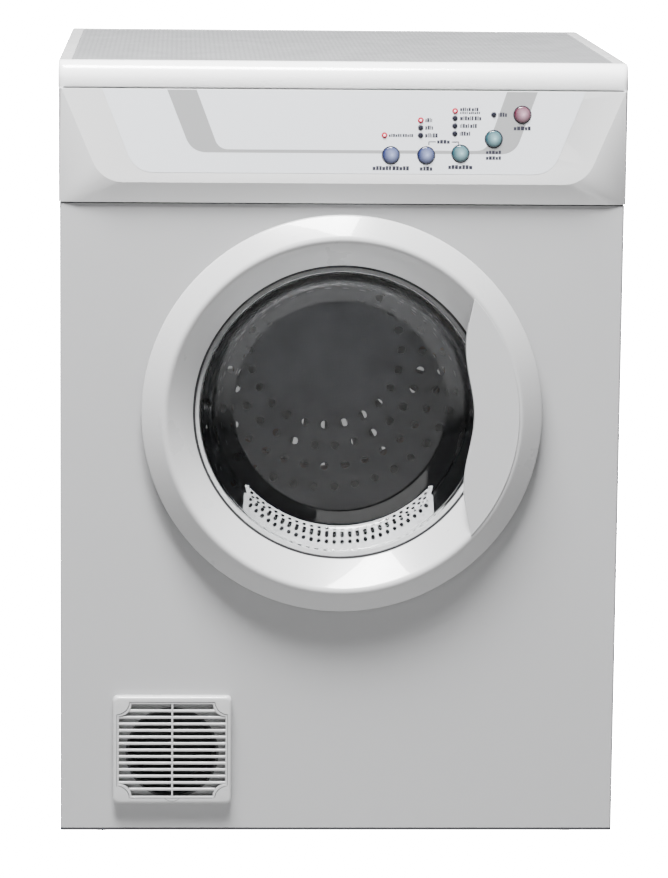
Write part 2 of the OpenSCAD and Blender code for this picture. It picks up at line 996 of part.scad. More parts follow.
module drum_shaft() {
    d0 = drum_d1 - 2.8;
    color("lightsteelblue") {
        rod(door_x, door_z, 55, d0, d0 + 3);
        rod(door_x, door_z, shaft_r, d0, worktop_back - 14);
    }
}

module bearing_housing() {
    flange = worktop_back - 1.2;
    color("darkgray")
    difference() {
        union() {
            rod(door_x, door_z, 40, flange - 3, flange);
            rod(door_x, door_z, 20, 518, flange - 3);
        }
        rod(door_x, door_z, 14, 517, flange - 9);
    }
}

module drum_bearing() {
    color("goldenrod")
    tube(door_x, door_z, shaft_r + running_gap, 14, 520, 546);
}

// ---------- Heater ----------

module heater_ring() {
    d1 = cabinet_d - sheet;
    color("silver")
    turned([
        [heater_r, heater_d], [heater_r + 1.2, heater_d], [heater_r + 1.2, d1 - 1.2],
        [208, d1 - 1.2], [208, d1], [heater_r, d1],
    ]);
}

// Two sheathed heating loops on three radial supports
module heater_element() {
    loops = [110, 150];
    d = 530;
    color("sienna") {
        for (r = loops)
            on_axis(door_x, door_z, d)
                rotate_extrude()
                    translate([r, 0])
                        circle(r = 4);
        for (i = [0:2])
            translate([door_x, 0, door_z])
                rotate([0, 120 * i, 0])
                    block([102, heater_r - 0.4], [d - 2, d + 2], [-5, 5]);
    }
}

// ---------- Motor, fan and belt ----------

module motor_body() {
    color("gray")
    difference() {
        union() {
            rod(motor_x, motor_z, motor_r, motor_d[0] + 12, motor_d[1] - 12);
            rod(motor_x, motor_z, motor_r - 8, motor_d[0], motor_d[1]);
        }
        rod(motor_x, motor_z, 7 + running_gap, motor_d[0] - cut, motor_d[1] + cut);
        rod(motor_x, motor_z, motor_r - 15, motor_d[0] + 18, motor_d[1] - 18);
        for (turn = [30:60:150])
            on_axis(motor_x, motor_z, (motor_d[0] + motor_d[1]) / 2)
                rotate([0, 0, turn])
                    cube([3 * motor_r, 9, 40], center = true);
    }
}

// A folded steel cradle on the base, with the idler's pivot stud
module motor_cradle() {
    tray = panel_z0;
    color("silver")
    difference() {
        union() {
            block([-25, motor_x + 65], [170, 390], [tray, tray + 3]);
            for (d = [190, 290])
                block([motor_x - 50, motor_x + 50], [d, d + 10], [tray, motor_z - 20]);
            block([pivot_x - 15, pivot_x + 15], [379, 390], [tray, pivot_z + 14]);
            rod(pivot_x, pivot_z, pivot_r, 350, 379);
        }
        rod(motor_x, motor_z, motor_r, 180, 310);
    }
}

// The rotor's shaft, with the belt pulley turned on its rear end
module motor_shaft() {
    color("lightsteelblue") {
        rod(motor_x, motor_z, 7, 90, 368);
        rod(motor_x, motor_z, pulley_r, 352, 368);
        for (d = [352, 366.5])
            rod(motor_x, motor_z, 13, d, d + 1.5);
    }
}

module fan_impeller() {
    blades = 20;
    hub_d = 128;
    color("dimgray")
    difference() {
        union() {
            rod(motor_x, motor_z, fan_r, hub_d, hub_d + 2);
            rod(motor_x, motor_z, 14, 104, hub_d);
            tube(motor_x, motor_z, 52, fan_r, 90, 92);
            for (i = [0:blades - 1])
                on_axis(motor_x, motor_z, 92)
                    rotate([0, 0, 360 * i / blades])
                        translate([48, -1, 0])
                            cube([fan_r - 49, 2, hub_d - 92]);
        }
        rod(motor_x, motor_z, 7, 80, 140);
    }
}

// The unit normal of the straight run from one pulley to the next, on the loop's outside
function run_normal(c1, r1, c2, r2) =
    let (
        span = c2 - c1,
        u = span / norm(span),
        s = (r1 - r2) / norm(span),
        c = sqrt(1 - s * s)
    )
    [u[0] * s + u[1] * c, u[1] * s - u[0] * c];

// The outline of a loop pulled tight round the drum, the idler and the motor pulley
module belt_loop(gap) {
    centres = [[door_x, door_z], [idler_x, idler_z], [motor_x, motor_z]];
    radii = [drum_r + gap, idler_r + gap, pulley_r + gap];
    touches = [
        for (i = [0:2])
            let (j = (i + 1) % 3, n = run_normal(centres[i], radii[i], centres[j], radii[j]))
            each [centres[i] + radii[i] * n, centres[j] + radii[j] * n]
    ];
    for (i = [0:2])
        translate(centres[i])
            circle(r = radii[i]);
    polygon(touches);
}

// A closed belt: it grips the drum's round wall all the way over the top
module drive_belt() {
    color("#262626")
    along_depth(belt_d[0], belt_d[1])
        difference() {
            belt_loop(belt_gap + belt_t);
            belt_loop(belt_gap);
        }
}

// The arm that presses the idler against the belt, with the idler's pin
module idler_arm() {
    reach = [idler_x - pivot_x, idler_z - pivot_z];
    color("silver")
    difference() {
        union() {
            rod(pivot_x, pivot_z, 11, 370, 378);
            rod(idler_x, idler_z, 9, 371, 375);
            rod(idler_x, idler_z, 5, 351, 371);
            translate([pivot_x, front_y + 371, pivot_z])
                rotate([0, -atan2(reach[1], reach[0]), 0])
                    translate([0, 0, -8])
                        cube([norm(reach), 4, 16]);
        }
        rod(pivot_x, pivot_z, pivot_r + running_gap, 360, 380);
    }
}

// A torsion spring round the pivot stud, with one leg against the arm's hub
module idler_spring() {
    wire = 1.2;
    coil_r = 9;
    color("lightslategray") {
        for (i = [0:4])
            on_axis(pivot_x, pivot_z, 354 + 2.8 * i)
                rotate_extrude()
                    translate([coil_r, 0])
                        circle(r = wire);
        block([pivot_x - 1.2, pivot_x + 1.2], [353, 370], [pivot_z - coil_r - 1.2, pivot_z - coil_r + 1.2]);
    }
}

module idler_pulley() {
    color("ivory")
    difference() {
        union() {
            rod(idler_x, idler_z, idler_r, 352, 368);
            for (d = [352, 366.5])
                rod(idler_x, idler_z, idler_r + 3, d, d + 1.5);
        }
        rod(idler_x, idler_z, 5 + running_gap, 351, 369);
    }
}

// ---------- Air path ----------

// Carries the air from the filter down to the fan's inlet
module suction_duct() {
    w = duct_wall;
    color("lightgray")
    difference() {
        block([-104, motor_x + 89], [44, fan_d[0]], [40, duct_top_z]);
        block([-104 + w, motor_x + 89 - w], [44 + w, fan_d[0] - w], [40 + w, duct_top_z - w]);
        block([-95, 95], [57, fan_d[0] - w], [190, duct_top_z + cut]);
        rod(motor_x, motor_z, 46, fan_d[0] - 5, fan_d[0] + cut);
    }
}

// The fan's scroll, with its outlet to the left
module fan_housing() {
    w = duct_wall;
    color("lightgray")
    difference() {
        union() {
            rod(motor_x, motor_z, fan_case_r, fan_d[0], fan_d[1]);
            block([-20, motor_x], [duct_d[0], duct_d[1]], [motor_z - fan_case_r, motor_z - 12]);
        }
        rod(motor_x, motor_z, fan_case_r - w, fan_d[0] + w, fan_d[1] - w);
        block([-21, motor_x], [duct_d[0] + w, duct_d[1] - w],
            [motor_z - fan_case_r + w, motor_z - 12 - w]);
        rod(motor_x, motor_z, 46, fan_d[0] - cut, fan_d[0] + w + cut);
        rod(motor_x, motor_z, 9, fan_d[1] - w - cut, fan_d[1] + cut);
    }
}

// Leads the air from the fan to the round vent behind the grille
module exhaust_duct() {
    w = duct_wall;
    z0 = motor_z - fan_case_r;
    z1 = motor_z - 12;
    color("lightgray")
    difference() {
        union() {
            along_depth(duct_d[0], duct_d[1])
                polygon([[-20, z0], [-20, z1], [-110, 160], [-238, 160], [-238, z0]]);
            rod(vent_x, vent_z, vent_r + w, 0, duct_d[0]);
        }
        along_depth(duct_d[0] + w, duct_d[1] - w)
            polygon([
                [-19, z0 + w], [-19, z1 - w], [-110 - w, 160 - w],
                [-238 + w, 160 - w], [-238 + w, z0 + w],
            ]);
        rod(vent_x, vent_z, vent_r, -cut, duct_d[0] + w + cut);
    }
}

// The outline of the grille's window: a rectangle whose corners are cut by round lobes
module grille_window() {
    half_w = 58.2;
    half_h = 51.8;
    translate([grille_x, grille_z])
        difference() {
            translate([-half_w, -half_h])
                square([2 * half_w, 2 * half_h]);
            for (x = [-half_w, half_w], z = [-half_h, half_h])
                translate([x, z])
                    circle(r = 13.5);
        }
}

module vent_grille() {
    half_w = grille_w / 2;
    half_h = grille_h / 2;
    first_slat_z = grille_z - (slat_count - 1) / 2 * slat_pitch;
    bevel = 2.5;
    color("whitesmoke") {
        difference() {
            hull() {
                along_depth(-grille_proud + bevel, 0)
                    round_rect(grille_x - half_w, grille_z - half_h, grille_x + half_w, grille_z + half_h, 6);
                along_depth(-grille_proud, 0)
                    round_rect(grille_x - half_w + bevel, grille_z - half_h + bevel,
                        grille_x + half_w - bevel, grille_z + half_h - bevel, 5);
            }
            along_depth(-grille_proud - cut, cut)
                grille_window();
            along_depth(-grille_proud + 3, cut)
                round_rect(grille_x - half_w + 3, grille_z - half_h + 3,
                    grille_x + half_w - 3, grille_z + half_h - 3, 3);
        }
        intersection() {
            along_depth(-grille_proud + 1, -3.5)
                grille_window();
            union() {
                for (i = [0:slat_count - 1])
                    translate([0, 0, first_slat_z + i * slat_pitch])
                        block([grille_x - 60, grille_x + 60], [-grille_proud, 0], [-slat_t / 2, slat_t / 2]);
                block([grille_x - 1, grille_x + 1], [-grille_proud, 0], [grille_z - 60, grille_z + 60]);
            }
        }
    }
}

// The bush in the rear panel that the mains cord passes through
module cord_gland() {
    color("#202225")
    difference() {
        union() {
            rod(cord_x, cord_z, 9, cabinet_d - 14, cabinet_d + 10);
            rod(cord_x, cord_z, 14, cabinet_d, cabinet_d + 3);
        }
        rod(cord_x, cord_z, 4, cabinet_d - 15, cabinet_d + 11);
    }
}

base_tray();
levelling_feet();
side_panel_left();
side_panel_right();
front_panel();
rear_panel();
rear_air_cover();
top_braces();
worktop_board();
worktop_trims();
control_fascia();
fascia_overlay();
lit_indicators();
unlit_indicators();
control_board();
front_tunnel();
drum_felt();
filter_housing();
suction_duct();
fan_housing();
exhaust_duct();
vent_grille();
hinge_bracket();
hinge_pin();
door_catch();
door_switch();
motor_body();
motor_cradle();
drive_belt();
heater_ring();
heater_element();
bearing_housing();
drum_bearing();
cord_gland();
cabinet_screws();
door_ring();
door_back_ring();
door_glass();
glass_gasket();
door_handle();
door_seal();
hinge_leaf();
door_strike();
filter_guard();
filter_screen();
drum_shell();
drum_rear_wall();
drum_lifters();
drum_shaft();
motor_shaft();
fan_impeller();
idler_arm();
idler_spring();
idler_pulley();
power_button();
start_button();
program_button();
heat_button();
crease_button();
switch_plunger();
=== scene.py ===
"""The clothes dryer's looks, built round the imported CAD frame.

X is to the right, Y goes back into the machine, Z is up, and the origin is on the floor. Blender's
lengths are metres. The shapes are written in millimetres and scaled by place(). A depth called d is
measured back from the front panel's outer face, so what stands out in front of it has a negative d.
"""

import math

import bpy
import bmesh
from mathutils import Matrix, Vector


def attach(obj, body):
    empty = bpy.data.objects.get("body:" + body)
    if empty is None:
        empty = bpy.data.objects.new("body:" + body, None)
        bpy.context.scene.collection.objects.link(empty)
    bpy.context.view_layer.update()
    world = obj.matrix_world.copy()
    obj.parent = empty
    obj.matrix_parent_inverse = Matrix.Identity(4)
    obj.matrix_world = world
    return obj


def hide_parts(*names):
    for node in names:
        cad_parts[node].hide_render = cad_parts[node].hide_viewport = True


MM = 0.001
FRONT_Y = -0.266

# The door, in millimetres: its axis, and radii and depths of the ring and the glass
DOOR_X, DOOR_Z = 1.0, 477.0
RING_R, RIDGE_R, WINDOW_R = 213.0, 188.0, 158.3
RIDGE_D = -29.0
HANDLE_EDGE_X, HANDLE_WAVE, HANDLE_HALF_WAVE, HANDLE_HALF_H = 135.0, 5.0, 75.0, 126.0
GRIP_LIP_HALF_H = 100.0
HINGE_X, HINGE_ARM_Z = -202.0, 26.5

# The worktop, in millimetres
WORKTOP_X, WORKTOP_Z0, WORKTOP_Z1 = 300.0, 821.5, 850.0
WORKTOP_FRONT, WORKTOP_BACK = -5.0, 561.0
TRIM_W = 14.0

# The control fascia, in millimetres
FASCIA_Z0 = 701.5
OVERLAY_TOP_Z = 820.9
OVERLAY_BACK_D = -11.9
PANEL_D = -12.15
INK_T = 0.015
BLOCK_GAP = 0.62
BUTTON_R, BUTTON_HOLE_R, FLANGE_R = 8.5, 9.0, 10.5
LAMP_HOLE_R = 2.3
BUTTONS = {
    "crease_button": (49.4, 52.0, "violet"),
    "heat_button": (86.5, 52.1, "violet"),
    "program_button": (122.6, 54.1, "teal"),
    "start_button": (157.4, 69.7, "teal"),
    "power_button": (187.2, 95.4, "pink"),
}
BODY_OF_BUTTON = {name: name.replace("button", "key") for name in BUTTONS}
LIT_LAMPS = [(42.4, 73.0), (80.3, 89.0), (116.3, 99.0)]
DARK_LAMPS = [(80.3, 81.1), (80.3, 73.0), (116.3, 91.2), (116.3, 83.2), (116.3, 75.0), (157.1, 95.2)]

# The vent grille, in millimetres
GRILLE_X, GRILLE_Z, GRILLE_HALF_W, GRILLE_HALF_H = -178.0, 110.6, 63.75, 59.25
WINDOW_HALF_W, WINDOW_HALF_H, LOBE_R = 58.2, 51.8, 13.5

# The camera, fitted to the photographed cabinet's edges
CAMERA_AT = (-0.1717, -4.4507, 1.1338)
CAMERA_YAW, CAMERA_PITCH, CAMERA_ROLL = 2.255, 9.284, 0.583
CAMERA_LENS = 163.3

# The studio: how bright the backdrop looks, how much the world lights, and the floor's own grey
BACKDROP_SEEN = 60.0
WORLD_LIGHT = 0.07
FLOOR_GREY = 0.21


# ---------- Materials ----------


def node_material(name):
    """An empty node material and its shader."""
    material = bpy.data.materials.new(name)
    material.use_nodes = True
    shader = material.node_tree.nodes["Principled BSDF"]
    return material, shader


def add_node(material, kind, **values):
    """A new node, with its named inputs or properties set."""
    node = material.node_tree.nodes.new(kind)
    for key, value in values.items():
        if key in node.inputs:
            node.inputs[key].default_value = value
        else:
            setattr(node, key, value)
    return node


def link(material, source, target):
    material.node_tree.links.new(source, target)


def noise(material, scale, detail=3.0, stretch=(1, 1, 1), roughness=0.55):
    """A noise texture in the piece's own coordinates, finer along an axis with more stretch."""
    coordinates = add_node(material, "ShaderNodeTexCoord")
    mapping = add_node(material, "ShaderNodeMapping")
    mapping.inputs["Scale"].default_value = stretch
    texture = add_node(material, "ShaderNodeTexNoise", Scale=scale, Detail=detail, Roughness=roughness)
    link(material, coordinates.outputs["Object"], mapping.inputs["Vector"])
    link(material, mapping.outputs["Vector"], texture.inputs["Vector"])
    return texture.outputs["Fac"]


def spread(material, source, low, high):
    """Maps a texture's middle range onto low to high."""
    node = add_node(material, "ShaderNodeMapRange")
    node.inputs["From Min"].default_value = 0.3
    node.inputs["From Max"].default_value = 0.7
    node.inputs["To Min"].default_value = low
    node.inputs["To Max"].default_value = high
    link(material, source, node.inputs["Value"])
    return node.outputs["Result"]


def blend_colours(material, factor, first, second):
    node = add_node(material, "ShaderNodeMix", data_type="RGBA")
    node.inputs["A"].default_value = (*first, 1)
    node.inputs["B"].default_value = (*second, 1)
    link(material, factor, node.inputs["Factor"])
    return node.outputs["Result"]


def bump(material, shader, source, distance, strength=1.0):
    node = add_node(material, "ShaderNodeBump", Strength=strength, Distance=distance)
    link(material, source, node.inputs["Height"])
    link(material, node.outputs["Normal"], shader.inputs["Normal"])
    return node


def scaled(colour, factor):
    return tuple(min(1.0, c * factor) for c in colour)


def moulded(name, colour, rough, grain=900.0, grain_depth=0.00004, shade=0.03, coat=0.0, metallic=0.0):
    """A finish with slow shade drift, patchy roughness and a fine surface grain."""
    material, shader = node_material(name)
    slow = noise(material, 3.5, detail=2.0)
    patchy = noise(material, 23.0, detail=4.0)
    fine = noise(material, grain, detail=2.0)
    tone = spread(material, slow, 0.0, 1.0)
    mixed = blend_colours(material, tone, scaled(colour, 1 - shade), scaled(colour, 1 + shade))
    link(material, mixed, shader.inputs["Base Color"])
    link(material, spread(material, patchy, rough * 0.88, rough * 1.12), shader.inputs["Roughness"])
    shader.inputs["Metallic"].default_value = metallic
    shader.inputs["Coat Weight"].default_value = coat
    bump(material, shader, fine, grain_depth)
    return material


def brushed(name, colour, rough=0.32, along=(1, 1, 60), depth=0.00003):
    """Metal with fine lines drawn along one direction."""
    material, shader = node_material(name)
    lines = noise(material, 40.0, detail=5.0, stretch=along)
    stain = noise(material, 9.0, detail=4.0)
    tone = spread(material, stain, 0.0, 1.0)
    mixed = blend_colours(material, tone, scaled(colour, 0.88), scaled(colour, 1.06))
    link(material, mixed, shader.inputs["Base Color"])
    link(material, spread(material, lines, rough * 0.75, rough * 1.3), shader.inputs["Roughness"])
    shader.inputs["Metallic"].default_value = 1.0
    bump(material, shader, lines, depth)
    return material


def spangled_zinc(name):
    """Galvanised sheet: zinc crystals of slightly different greys."""
    material, shader = node_material(name)
    coordinates = add_node(material, "ShaderNodeTexCoord")
    crystals = add_node(material, "ShaderNodeTexVoronoi", Scale=110.0)
    link(material, coordinates.outputs["Object"], crystals.inputs["Vector"])
    grey = add_node(material, "ShaderNodeRGBToBW")
    link(material, crystals.outputs["Color"], grey.inputs["Color"])
    mixed = blend_colours(material, grey.outputs["Val"], (0.42, 0.43, 0.45), (0.60, 0.61, 0.63))
    link(material, mixed, shader.inputs["Base Color"])
    link(material, spread(material, grey.outputs["Val"], 0.30, 0.46), shader.inputs["Roughness"])
    shader.inputs["Metallic"].default_value = 0.9
    bump(material, shader, noise(material, 300.0), 0.00002)
    return material


def enamel(name, colour):
    """Stove enamel on steel: nearly smooth, with a faint orange-peel ripple under a clear gloss."""
    material, shader = node_material(name)
    slow = noise(material, 2.2, detail=2.0)
    ripple = noise(material, 420.0, detail=1.0)
    tone = spread(material, slow, 0.0, 1.0)
    mixed = blend_colours(material, tone, scaled(colour, 0.985), scaled(colour, 1.01))
    link(material, mixed, shader.inputs["Base Color"])
    link(material, spread(material, noise(material, 14.0), 0.30, 0.40), shader.inputs["Roughness"])
    shader.inputs["Coat Weight"].default_value = 0.25
    shader.inputs["Coat Roughness"].default_value = 0.25
    bump(material, shader, ripple, 0.00002)
    return material


def laminate(name, colour):
    """Worktop laminate, embossed with dotted lines that run from front to back."""
    material, shader = node_material(name)
    coordinates = add_node(material, "ShaderNodeTexCoord")
    mapping = add_node(material, "ShaderNodeMapping")
    mapping.inputs["Scale"].default_value = (1.0, 1.9, 1.0)
    dots = add_node(material, "ShaderNodeTexVoronoi", Scale=190.0, Randomness=0.08)
    link(material, coordinates.outputs["Object"], mapping.inputs["Vector"])
    link(material, mapping.outputs["Vector"], dots.inputs["Vector"])
    raised = spread(material, dots.outputs["Distance"], 0.0, 1.0)
    mixed = blend_colours(material, raised, scaled(colour, 1.08), scaled(colour, 0.82))
    link(material, mixed, shader.inputs["Base Color"])
    link(material, spread(material, noise(material, 30.0), 0.36, 0.5), shader.inputs["Roughness"])
    node = bump(material, shader, raised, 0.00012)
    node.invert = True
    return material


def lens(name, colour, glow, strength):
    """A small coloured lens whose middle glows."""
    material, shader = node_material(name)
    patchy = noise(material, 500.0)
    mixed = blend_colours(material, patchy, scaled(colour, 0.8), scaled(colour, 1.1))
    link(material, mixed, shader.inputs["Base Color"])
    link(material, spread(material, patchy, 0.15, 0.3), shader.inputs["Roughness"])
    shader.inputs["Emission Color"].default_value = (*glow, 1)
    shader.inputs["Emission Strength"].default_value = strength
    return material


def button_with_painted_highlight(name, middle, rim):
    """Tinted plastic with a painted highlight: pale where the rim attribute is low and deep in colour at the
    rim.
    """
    material, shader = node_material(name)
    depth = add_node(material, "ShaderNodeAttribute", attribute_name="rim")
    cloud = spread(material, noise(material, 900.0), -0.04, 0.04)
    uneven = add_node(material, "ShaderNodeMath", operation="ADD")
    link(material, depth.outputs["Fac"], uneven.inputs[0])
    link(material, cloud, uneven.inputs[1])
    # The pale colour is a painted highlight; the deep colour at the rim is the plastic's own tint.
    mixed = blend_colours(material, uneven.outputs["Value"], middle, rim)
    link(material, mixed, shader.inputs["Base Color"])
    link(material, spread(material, noise(material, 40.0), 0.12, 0.2), shader.inputs["Roughness"])
    shader.inputs["Coat Weight"].default_value = 0.7
    bump(material, shader, noise(material, 700.0), 0.00001)
    return material


def clear_glass(name):
    """Pressed glass with faint waviness. It lets light through to the drum behind it."""
    material, shader = node_material(name)
    waves = noise(material, 28.0, detail=2.0)
    smears = noise(material, 11.0, detail=5.0)
    shader.inputs["Base Color"].default_value = (0.90, 0.905, 0.91, 1)
    shader.inputs["Transmission Weight"].default_value = 1.0
    shader.inputs["IOR"].default_value = 1.5
    link(material, spread(material, smears, 0.0, 0.035), shader.inputs["Roughness"])
    bump(material, shader, waves, 0.00025)
    return material


def frosted(name, colour):
    """Milky translucent plastic."""
    material, shader = node_material(name)
    cloud = noise(material, 60.0, detail=4.0)
    mixed = blend_colours(material, cloud, scaled(colour, 0.93), scaled(colour, 1.05))
    link(material, mixed, shader.inputs["Base Color"])
    link(material, spread(material, cloud, 0.25, 0.4), shader.inputs["Roughness"])
    shader.inputs["Transmission Weight"].default_value = 0.15
    bump(material, shader, noise(material, 700.0), 0.00003)
    return material


def felted(name, colour):
    """Dense wool felt: matted fibres with a soft sheen."""
    material, shader = node_material(name)
    fibres = noise(material, 700.0, detail=6.0, roughness=0.7)
    mixed = blend_colours(material, fibres, scaled(colour, 0.7), scaled(colour, 1.15))
    link(material, mixed, shader.inputs["Base Color"])
    shader.inputs["Roughness"].default_value = 0.95
    shader.inputs["Sheen Weight"].default_value = 0.4
    bump(material, shader, fibres, 0.0004)
    return material


LOOKS = {
    "enamel": enamel("white_enamel", (0.415, 0.417, 0.423)),
    "dark_enamel": moulded("dark_enamel", (0.035, 0.035, 0.04), 0.45),
    "zinc": spangled_zinc("galvanised"),
    "laminate": laminate("worktop_laminate", (0.225, 0.228, 0.233)),
    "trim": moulded("worktop_trim", (0.95, 0.95, 0.955), 0.26, grain_depth=0.00001, shade=0.01, coat=0.6),
    "fascia": moulded("fascia_plastic", (0.74, 0.742, 0.746), 0.42, shade=0.012),
    "overlay": moulded(
        "overlay_film", (0.83, 0.855, 0.895), 0.34, grain=1500.0, grain_depth=0.00001, shade=0.01
    ),
    "stripe": moulded(
        "stripe_ink", (0.35, 0.353, 0.358), 0.36, grain=1500.0, grain_depth=0.00001, shade=0.02
    ),
    "ink": moulded("black_ink", (0.03, 0.03, 0.045), 0.4, grain_depth=0.00001),
    "shadow_line": moulded("shadow_line", (0.20, 0.20, 0.205), 0.5, grain_depth=0.00001),
    # Painted glow: the lit lamps' red light on the film round them.
    "painted_lamp_glow": moulded("painted_lamp_glow", (0.42, 0.02, 0.06), 0.4, grain_depth=0.00001),
    "white": moulded(
        "white_plastic", (0.495, 0.497, 0.501), 0.30, grain_depth=0.00002, shade=0.012, coat=0.4
    ),
    "handle": moulded("handle_plastic", (0.46, 0.463, 0.468), 0.36, grain_depth=0.00002, shade=0.012),
    "ivory": moulded("ivory_plastic", (0.80, 0.79, 0.75), 0.45),
    "duct": moulded("duct_plastic", (0.13, 0.132, 0.135), 0.5),
    "black": moulded("black_plastic", (0.018, 0.018, 0.02), 0.42),
    "rubber": moulded("black_rubber", (0.02, 0.02, 0.022), 0.62, grain=600.0, grain_depth=0.00008),
    "seal": moulded("grey_rubber", (0.30, 0.31, 0.32), 0.7, grain=600.0, grain_depth=0.00008),
    "glass": clear_glass("bowl_glass"),
    "guard": frosted("frosted_plastic", (0.62, 0.63, 0.635)),
    "felt": felted("wool_felt", (0.52, 0.50, 0.46)),
    # Painted shade: the drum's steel is given a dark colour that stands for the shade inside the drum.
    "drum": brushed("drum_steel", (0.20, 0.205, 0.215), 0.40, along=(1, 60, 1)),
    "steel": brushed("bright_steel", (0.62, 0.63, 0.65), 0.25),
    "element": brushed("sheathed_wire", (0.20, 0.15, 0.13), 0.5),
    "bronze": brushed("bronze", (0.62, 0.42, 0.18), 0.35),
    "motor": moulded("motor_enamel", (0.10, 0.105, 0.11), 0.5, metallic=0.3),
    "board": moulded("board_lacquer", (0.03, 0.16, 0.07), 0.35),
    # Each button's first colour is its painted highlight, the second its own deep tint.
    "pink": button_with_painted_highlight("pink_plastic", (0.72, 0.46, 0.56), (0.055, 0.003, 0.016)),
    "teal": button_with_painted_highlight("teal_plastic", (0.42, 0.68, 0.72), (0.005, 0.040, 0.055)),
    "violet": button_with_painted_highlight("violet_plastic", (0.42, 0.48, 0.74), (0.008, 0.014, 0.070)),
    "lit": lens("lit_lens", (0.45, 0.01, 0.04), (1.0, 0.02, 0.10), 0.08),
    "lit_core": lens("lit_core", (1.0, 0.75, 0.80), (1.0, 0.62, 0.70), 1.4),
    "dark_lens": lens("dark_lens", (0.02, 0.02, 0.03), (0, 0, 0), 0.0),
}

LOOK_OF_NODE = {
    "base_tray": "dark_enamel",
    "levelling_feet": "black",
    "side_panel_left": "enamel",
    "side_panel_right": "enamel",
    "front_panel": "enamel",
    "rear_panel": "zinc",
    "rear_air_cover": "zinc",
    "top_braces": "zinc",
    "worktop_board": "laminate",
    "worktop_trims": "trim",
    "control_fascia": "fascia",
    "fascia_overlay": "overlay",
    "lit_indicators": "lit",
    "unlit_indicators": "dark_lens",
    "control_board": "board",
    "front_tunnel": "white",
    "drum_felt": "felt",
    "filter_housing": "duct",
    "suction_duct": "duct",
    "fan_housing": "duct",
    "exhaust_duct": "duct",
    "vent_grille": "white",
    "hinge_bracket": "steel",
    "hinge_pin": "steel",
    "door_catch": "ivory",
    "door_switch": "ivory",
    "motor_body": "motor",
    "motor_cradle": "zinc",
    "drive_belt": "rubber",
    "heater_ring": "zinc",
    "heater_element": "element",
    "bearing_housing": "steel",
    "drum_bearing": "bronze",
    "cord_gland": "black",
    "cabinet_screws": "steel",
    "idler_spring": "steel",
    "door_ring": "white",
    "door_back_ring": "white",
    "door_glass": "glass",
    "glass_gasket": "rubber",
    "door_handle": "handle",
    "door_seal": "seal",
    "hinge_leaf": "steel",
    "door_strike": "steel",
    "filter_guard": "guard",
    "filter_screen": "ivory",
    "drum_shell": "drum",
    "drum_rear_wall": "drum",
    "drum_lifters": "white",
    "drum_shaft": "steel",
    "motor_shaft": "steel",
    "fan_impeller": "black",
    "idler_arm": "zinc",
    "idler_pulley": "ivory",
    "power_button": "pink",
    "start_button": "teal",
    "program_button": "teal",
    "heat_button": "violet",
    "crease_button": "violet",
    "switch_plunger": "black",
}


# ---------- Meshes ----------


def place(x, d, z):
    """A point given in millimetres across, back from the front panel and up, in the row frame."""
    return (x * MM, FRONT_Y + d * MM, z * MM)


def band(first, second, count):
    """The faces that join two closed loops of vertices, given where each loop starts."""
    steps = [(i, (i + 1) % count) for i in range(count)]
    return [(first + i, first + j, second + j, second + i) for i, j in steps]


def fill_flat(build, d):
    """Fills the open loops that lie at one depth."""
    y = FRONT_Y + d * MM
    edges = [e for e in build.edges if e.is_boundary and all(abs(v.co.y - y) < 1e-6 for v in e.verts)]
    bmesh.ops.triangle_fill(build, use_beauty=True, use_dissolve=False, edges=edges)


def piece(name, vertices, faces, look, body, nodes=(), cutters=()):
    """A new piece on a body, standing for the CAD nodes named, less the shapes of the cutters."""
    mesh = bpy.data.meshes.new(name)
    mesh.from_pydata([Vector(v) for v in vertices], [], faces)
    return finish_piece(name, mesh, look, body, nodes, cutters)


def finish_piece(name, mesh, look, body, nodes, cutters=()):
    build = bmesh.new()
    build.from_mesh(mesh)
    bmesh.ops.remove_doubles(build, verts=build.verts, dist=1e-6)
    bmesh.ops.recalc_face_normals(build, faces=build.faces)
    build.to_mesh(mesh)
    build.free()
    smooth(mesh)
    mesh.materials.append(LOOKS[look])
    made = bpy.data.objects.new(name, mesh)
    bpy.context.scene.collection.objects.link(made)
    if cutters:
        carve(made, cutters)
    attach(made, body)
    if nodes:
        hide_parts(*nodes)
    return made


def cutter(outline, d0, d1):
    """A solid used only to cut another: an outline in X and Z, between two depths."""
    count = len(outline)
    vertices = [Vector(place(x, d, z)) for d in (d0, d1) for x, z in outline]
    faces = [tuple(range(count)), tuple(range(2 * count - 1, count - 1, -1))]
    faces += [(i, count + i, count + (i + 1) % count, (i + 1) % count) for i in range(count)]
    mesh = bpy.data.meshes.new("cutter")
    mesh.from_pydata(vertices, [], faces)
    tool = bpy.data.objects.new("cutter", mesh)
    bpy.context.scene.collection.objects.link(tool)
    return tool


def carve(made, cutters):
    """Takes the cutters' shapes out of a piece's mesh, and removes the cutters."""
    for tool in cutters:
        step = made.modifiers.new("carve", "BOOLEAN")
        step.object = tool
        step.solver = "EXACT"
    build = bmesh.new()
    build.from_object(made, bpy.context.evaluated_depsgraph_get())
    made.modifiers.clear()
    build.to_mesh(made.data)
    build.free()
    for tool in cutters:
        bpy.data.objects.remove(tool)
    smooth(made.data)


def smooth(mesh, angle=32):
    """Smooth shading, with the edges that turn by more than the angle kept sharp."""
    mesh.shade_smooth()
    mesh.set_sharp_from_angle(angle=math.radians(angle))


def soften(made, width, segments=2, angle=30):
    """Rounds a piece's sharp edges by a width in millimetres."""
    bevel = made.modifiers.new("rounded_edges", "BEVEL")
    bevel.width = width * MM
    bevel.segments = segments
    bevel.limit_method = "ANGLE"
    bevel.angle_limit = math.radians(angle)
    bevel.miter_outer = "MITER_ARC"
    bevel.harden_normals = True
    return made


